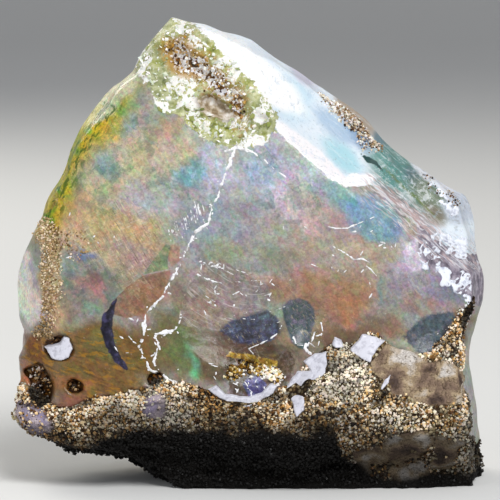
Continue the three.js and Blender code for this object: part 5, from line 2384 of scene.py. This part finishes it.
@dataclass
class HostRock:
    """The crust, foot and rind of host rock that the opal grew in."""

    fields: StoneFields
    finish: RockFinish = RockFinish()
    front_y: float = -4.0
    slab: Line = (
        (13.6, 13.9), (14.4, 15.1), (15.6, 15.9), (16.9, 15.7), (18.5, 14.8), (20, 13.7), (21.6, 13.9),
        (22.9, 13.4), (24.2, 12.4), (24.5, 10.4), (22.5, 9.7), (20, 9.4), (18.7, 9.7), (17.6, 10.4),
        (15.8, 10.2), (15.4, 11.7), (13.6, 13.1),
    )
    milky: tuple[Bowl, ...] = (Bowl(-24.2, 6.8, 3.2, 2.8, 1, -30), Bowl(-10.0, 9.3, 1.5, 1.4, 1, 20))
    smoky: Bowl = Bowl(17.6, 3.8, 7.6, 3.2, 1)
    leaning: tuple[Bowl, ...] = (
        Bowl(9.8, 13.2, 5, 3.6, 0.6), Bowl(-13, 9, 8, 2.4, 0.4), Bowl(17, 3.6, 10, 4, -0.2),
    )
    dark_edge_x: float = 23.85
    amber_end_x: float = -19.0
    crust: GrainZone = GrainZone(
        "crust_grains", Scatter(0.85, 0.06, 0.26, 3, rounds=2, drift=0.45), CRUST_TINTS, 0.45, Slot.ROCK
    )
    rind: GrainZone = GrainZone(
        "rind_grains", Scatter(0.42, 0.13, 0.32, 4), RIND_TINTS, 0.55, Slot.ROCK
    )

    def skin(self) -> Skin:
        """Skins the rock and marks its slab, its milky lumps, its amber edge, and the painted shade of its
        underside, cracks, hollows, pits and right edge.

        Returns:
            The mesh.
        """
        form = self.fields.form
        skin = self.fields.skin(self.fields.rock())
        x, y, z = skin.vertices.T
        ragged = 0.5 * layered_noise(x, z, 1.4, 3, 8.5)
        milky = np.max([lump.reach(x, z) for lump in self.milky], axis=0)
        smoky = self.smoky.reach(x, z) - 0.45 + 1.1 * layered_noise(x, z, 1.8, 3, 6.5)
        above = z - along(form.rock_top, x) + ragged
        # Painted shade: dark lines in the crust's cracks, darker hollows between its lumps, the rock inside
        # the pits and a dark band at the crust's right end, joined with the shade under the brow.
        folds = layered_noise(0.5 * x + 0.2 * y, 1.4 * z - 0.3 * x, 3.6, 3, 14.5)
        cracks = 0.75 * smooth_step(np.abs(folds), 0.13, 0.02)
        hollows = 0.38 * smooth_step(layered_noise(x, 1.3 * z, 2.8, 3, 31.5), 0.15, 0.65)
        slab = depth_inside(self.slab, x, z)
        cracks = np.maximum(cracks, hollows) * smooth_step(slab, 0.2, -0.6)
        pits = 0.95 * smooth_step(form.pit_reach(x, z).max(axis=0), 0.0, 0.25)
        edge = smooth_step(x + 0.3 * ragged, self.dark_edge_x, self.dark_edge_x + 0.25)
        pits = np.maximum(pits, 0.9 * edge)
        left = smooth_step(x, self.amber_end_x, self.amber_end_x - 1)
        skin.marks = {
            "slab": np.where(y < self.front_y, np.maximum(slab, smoky), -9.0),
            "lavender": smooth_step(milky + ragged, 0.05, 0.6) * (y < -2) * 0.85,
            "lean": sum(area.at(x, z) for area in self.leaning),
            "amber": smooth_step(above, 0.2, 0.9) * left * (y < 0),
            "shade": np.maximum.reduce([form.shade(x, z), cracks, pits]) * (y < 2),
        }
        return skin

    def lay_grains(self, bench: Bench, effects: Effects, rock: Skin, plates: ChalkPlates) -> None:
        """Strews grains over the rock where it is open to the air and not under a plate.

        Args:
            bench: Lays meshes into the scene.
            effects: The shared node groups.
            rock: The host rock's mesh.
            plates: The plates that lie on it.
        """
        x, y, z = rock.vertices.T
        outside = self.fields.sample(self.fields.opal(), rock.vertices)
        exposed = smooth_step(outside, -0.1, 0.05) * (z > 0.35)
        bare = smooth_step(rock.marks["slab"] + 0.6 * layered_noise(x, z, 1.0, 2, 11.5), 0.1, -0.3)
        bare *= (1 - rock.marks["lavender"]) * (1 - 0.97 * rock.marks["amber"])
        bare *= 1 - smooth_step(plates.cover(x, z), -0.3, 0.1)
        self.crust.lay(bench, effects, rock, exposed * (y < self.front_y) * bare)
        self.rind.lay(bench, effects, rock, exposed * (y >= self.front_y) * (1 - rock.marks["amber"]))


@dataclass
class OpalGrains:
    """The crumbs in the opal's vug and pits, and along its broken edges."""

    form: StoneForm
    shoulder_line: Line = ((9.6, 42.3), (10.8, 40.9), (12.0, 39.5), (13.2, 38.4), (13.9, 37.8))
    knob_line: Line = ((20.0, 33.4), (20.4, 32.4), (21.4, 31.4), (22.6, 31.0), (23.2, 30.8))
    edge_line: Line = ((22.2, 14.2), (23.2, 16), (24.1, 18.6))
    flank_line: Line = (
        (-22.3, 28.0), (-21.7, 25.6), (-21.4, 22.8), (-21.5, 20), (-22.0, 17.8), (-22.3, 16.4),
    )
    spread_line: Line = ((-22.0, 27.2), (-20.0, 26.6), (-18.4, 26.2))
    band_line: Line = ((-1.6, 12.6), (-0.6, 13.2), (0.8, 13.0), (2.4, 12.5), (3.2, 12.2))
    vug: GrainZone = GrainZone("vug_grains", Scatter(0.3, 0.05, 0.25, 5, rounds=2, drift=0.5), VUG_TINTS)
    patch: GrainZone = GrainZone("patch_crumbs", Scatter(0.22, 0.12, 0.5, 6, 0.4, flat=0.3), CRUMB_TINTS, 0.3)
    shoulder: GrainZone = GrainZone("shoulder_grains", Scatter(1.0, 0.08, 0.26, 7, rounds=2), SHOULDER_TINTS)
    knob: GrainZone = GrainZone("knob_grains", Scatter(0.8, 0.05, 0.16, 12), EDGE_TINTS)
    edge: GrainZone = GrainZone("edge_grains", Scatter(1.0, 0.07, 0.22, 8, rounds=2), EDGE_TINTS)
    flank: GrainZone = GrainZone("flank_grains", Scatter(1.0, 0.06, 0.2, 13, 0.4, rounds=3), FLANK_TINTS)
    band: GrainZone = GrainZone("band_grains", Scatter(1.0, 0.08, 0.28, 10, rounds=3, drift=0.6), BAND_TINTS)
    pits: GrainZone = GrainZone("pit_grains", Scatter(0.8, 0.06, 0.26, 9), PIT_TINTS)

    @staticmethod
    def beside(line: Line, reach: float, x: Array, z: Array, seed: float) -> Array:
        """Gives 1 on a line and 0 beyond its ragged reach."""
        away = line_distance(line, x, z) + 0.5 * layered_noise(x, z, 1.4, 2, seed)
        return smooth_step(away, reach, 0.4 * reach)

    def lay(self, bench: Bench, effects: Effects, opal: Skin) -> None:
        """Strews all of the zones over the opal's front.

        Args:
            bench: Lays meshes into the scene.
            effects: The shared node groups.
            opal: The opal's mesh.
        """
        x, _, z = opal.vertices.T
        front = opal.marks["front"] < 1.2
        vug, in_patch = opal.marks["vug"], smooth_step(self.form.patch(x, z), 0.1, 0.8)
        in_patch *= smooth_step(opal.marks["bean"], 0.1, -0.2)
        spread = 0.3 * self.beside(self.spread_line, 2.0, x, z, 20.5)
        for zone, weight in (
            (self.vug, in_patch * smooth_step(vug, 1.9, 0.7)),
            (self.patch, in_patch * smooth_step(vug, 1.0, 2.0)),
            (self.shoulder, self.beside(self.shoulder_line, 1.9, x, z, 13.5)),
            (self.knob, self.beside(self.knob_line, 0.5, x, z, 14.5)),
            (self.edge, self.beside(self.edge_line, 1.3, x, z, 17.5) * smooth_step(z, 20.2, 19.2)),
            (self.flank, np.maximum(self.beside(self.flank_line, 1.25, x, z, 18.5), spread)),
            (self.band, self.beside(self.band_line, 0.9, x, z, 19.5)),
            (self.pits, smooth_step(opal.marks["pits"], 0.2, 0.5) * (x < -8)),
        ):
            zone.lay(bench, effects, opal, weight * front)


# Studio


@dataclass(frozen=True)
class Lamp:
    """A square area light that looks at the stone."""

    name: str
    place: tuple[float, float, float]
    size: float
    power: float
    colour: tuple[float, float, float] = (1.0, 1.0, 1.0)
    aim_z: float = 0.025

    def hang(self) -> None:
        """Adds the light to the scene."""
        light = bpy.data.lights.new(self.name, "AREA")
        light.size = self.size
        light.energy = self.power
        light.color = self.colour
        lamp = bpy.data.objects.new(self.name, light)
        lamp.location = self.place
        looking = Vector((0, 0, self.aim_z)) - Vector(self.place)
        lamp.rotation_euler = looking.to_track_quat("-Z", "Y").to_euler()
        bpy.context.scene.collection.objects.link(lamp)


@dataclass(frozen=True)
class Studio:
    """A pale floor that curves up behind the stone, soft lights, and a camera at the photograph's angle."""

    floor_colour: str = "dcdcda"
    floor_roughness: float = 0.85
    floor_half: float = 1.6
    sweep_start: float = 0.9
    sweep_radius: float = 0.7
    wall_top: float = 2.0
    lamps: tuple[Lamp, ...] = (
        Lamp("key", (0.16, -0.34, 0.42), 0.24, 2.6),
        Lamp("fill", (-0.42, -0.36, 0.16), 0.4, 0.7, (0.93, 0.96, 1.0)),
        Lamp("back", (-0.22, 0.34, 0.3), 0.24, 1.0, (1.0, 0.97, 0.9)),
    )
    world_colour: tuple[float, float, float] = (0.93, 0.95, 1.0)
    world_light: float = 0.34
    elevation: float = 6.0
    distance: float = 0.45
    lens: float = 292.0
    aim: tuple[float, float] = (0.33, 25.24)

    def floor(self) -> None:
        """Adds the floor with its curved backdrop."""
        half, start, radius = self.floor_half, self.sweep_start, self.sweep_radius
        profile = [(-half, 0.0), (start, 0.0)]
        profile += [
            (start + radius * math.sin(a), radius - radius * math.cos(a))
            for a in np.linspace(0, math.pi / 2, 17)[1:]
        ]
        profile.append((start + radius, self.wall_top))
        vertices = [(x, y, z) for x in (-half, half) for y, z in profile]
        count = len(profile)
        faces = [(i, i + 1, i + 1 + count, i + count) for i in range(count - 1)]
        mesh = bpy.data.meshes.new("floor")
        mesh.from_pydata(vertices, [], faces)
        mesh.polygons.foreach_set("use_smooth", [True] * len(faces))
        material = bpy.data.materials.new("floor_paper")
        material.use_nodes = True
        shader = material.node_tree.nodes["Principled BSDF"]
        shader.inputs["Base Color"].default_value = (*hex_colour(self.floor_colour), 1.0)
        shader.inputs["Roughness"].default_value = self.floor_roughness
        mesh.materials.append(material)
        floor = bpy.data.objects.new("floor", mesh)
        bpy.context.scene.collection.objects.link(floor)

    def light(self) -> None:
        """Adds the lamps and the even light around them."""
        for lamp in self.lamps:
            lamp.hang()
        world = bpy.data.worlds.new("studio")
        world.use_nodes = True
        background = world.node_tree.nodes["Background"]
        background.inputs["Color"].default_value = (*self.world_colour, 1.0)
        background.inputs["Strength"].default_value = self.world_light
        bpy.context.scene.world = world
        bpy.context.scene.view_settings.view_transform = "Standard"

    def camera(self, centre: tuple[float, float]) -> None:
        """Adds the camera, which looks a little down at the big face.

        Args:
            centre: Where the outline's origin lies from the middle of the stone.
        """
        camera = bpy.data.objects.new("camera", bpy.data.cameras.new("camera"))
        camera.data.lens = self.lens
        camera.data.clip_start = 0.01
        elevation = math.radians(self.elevation)
        aim = Vector(((self.aim[0] - centre[0]) * MM, 0, self.aim[1] * MM))
        camera.location = aim + Vector((0, -math.cos(elevation), math.sin(elevation))) * self.distance
        camera.rotation_euler = (math.radians(90) - elevation, 0, 0)
        bpy.context.scene.collection.objects.link(camera)
        bpy.context.scene.camera = camera


def main() -> None:
    """Builds the stone and its setting."""
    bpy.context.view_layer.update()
    form = StoneForm()
    effects = Effects()
    body = OpalBody(StoneFields(form, cell=0.29))
    host = HostRock(StoneFields(form, cell=0.315))
    plates = ChalkPlates(form)
    opal, rock = body.skin(), host.skin()
    both = np.concatenate([opal.vertices, rock.vertices])
    middle = (both.min(axis=0) + both.max(axis=0)) / 2
    bench = Bench((float(middle[0]), float(middle[1])))

    opal_piece = bench.lay("opal_body", opal, body.finish.build(effects, bench.centre), Slot.OPAL)
    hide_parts(STONE_NODE)
    bench.lay("host_rock", rock, host.finish.build(effects, bench.centre), Slot.ROCK)
    host.lay_grains(bench, effects, rock, plates)
    OpalGrains(form).lay(bench, effects, opal)
    inlays = {"crack_veins_and_glints": CrackVeinsAndGlints(form), "chalk_plates": plates, "corner_flakes": FoilFlakes(form)}
    for name, inlay in inlays.items():
        bench.lay(name, inlay.skin(), inlay.finish.build(effects, bench.centre), Slot.OPAL)

    studio = Studio()
    studio.floor()
    studio.light()
    studio.camera(bench.centre)
    bpy.context.view_layer.update()


if __name__ == "__main__":
    logging.basicConfig(level=logging.INFO, format="%(message)s")
    main()
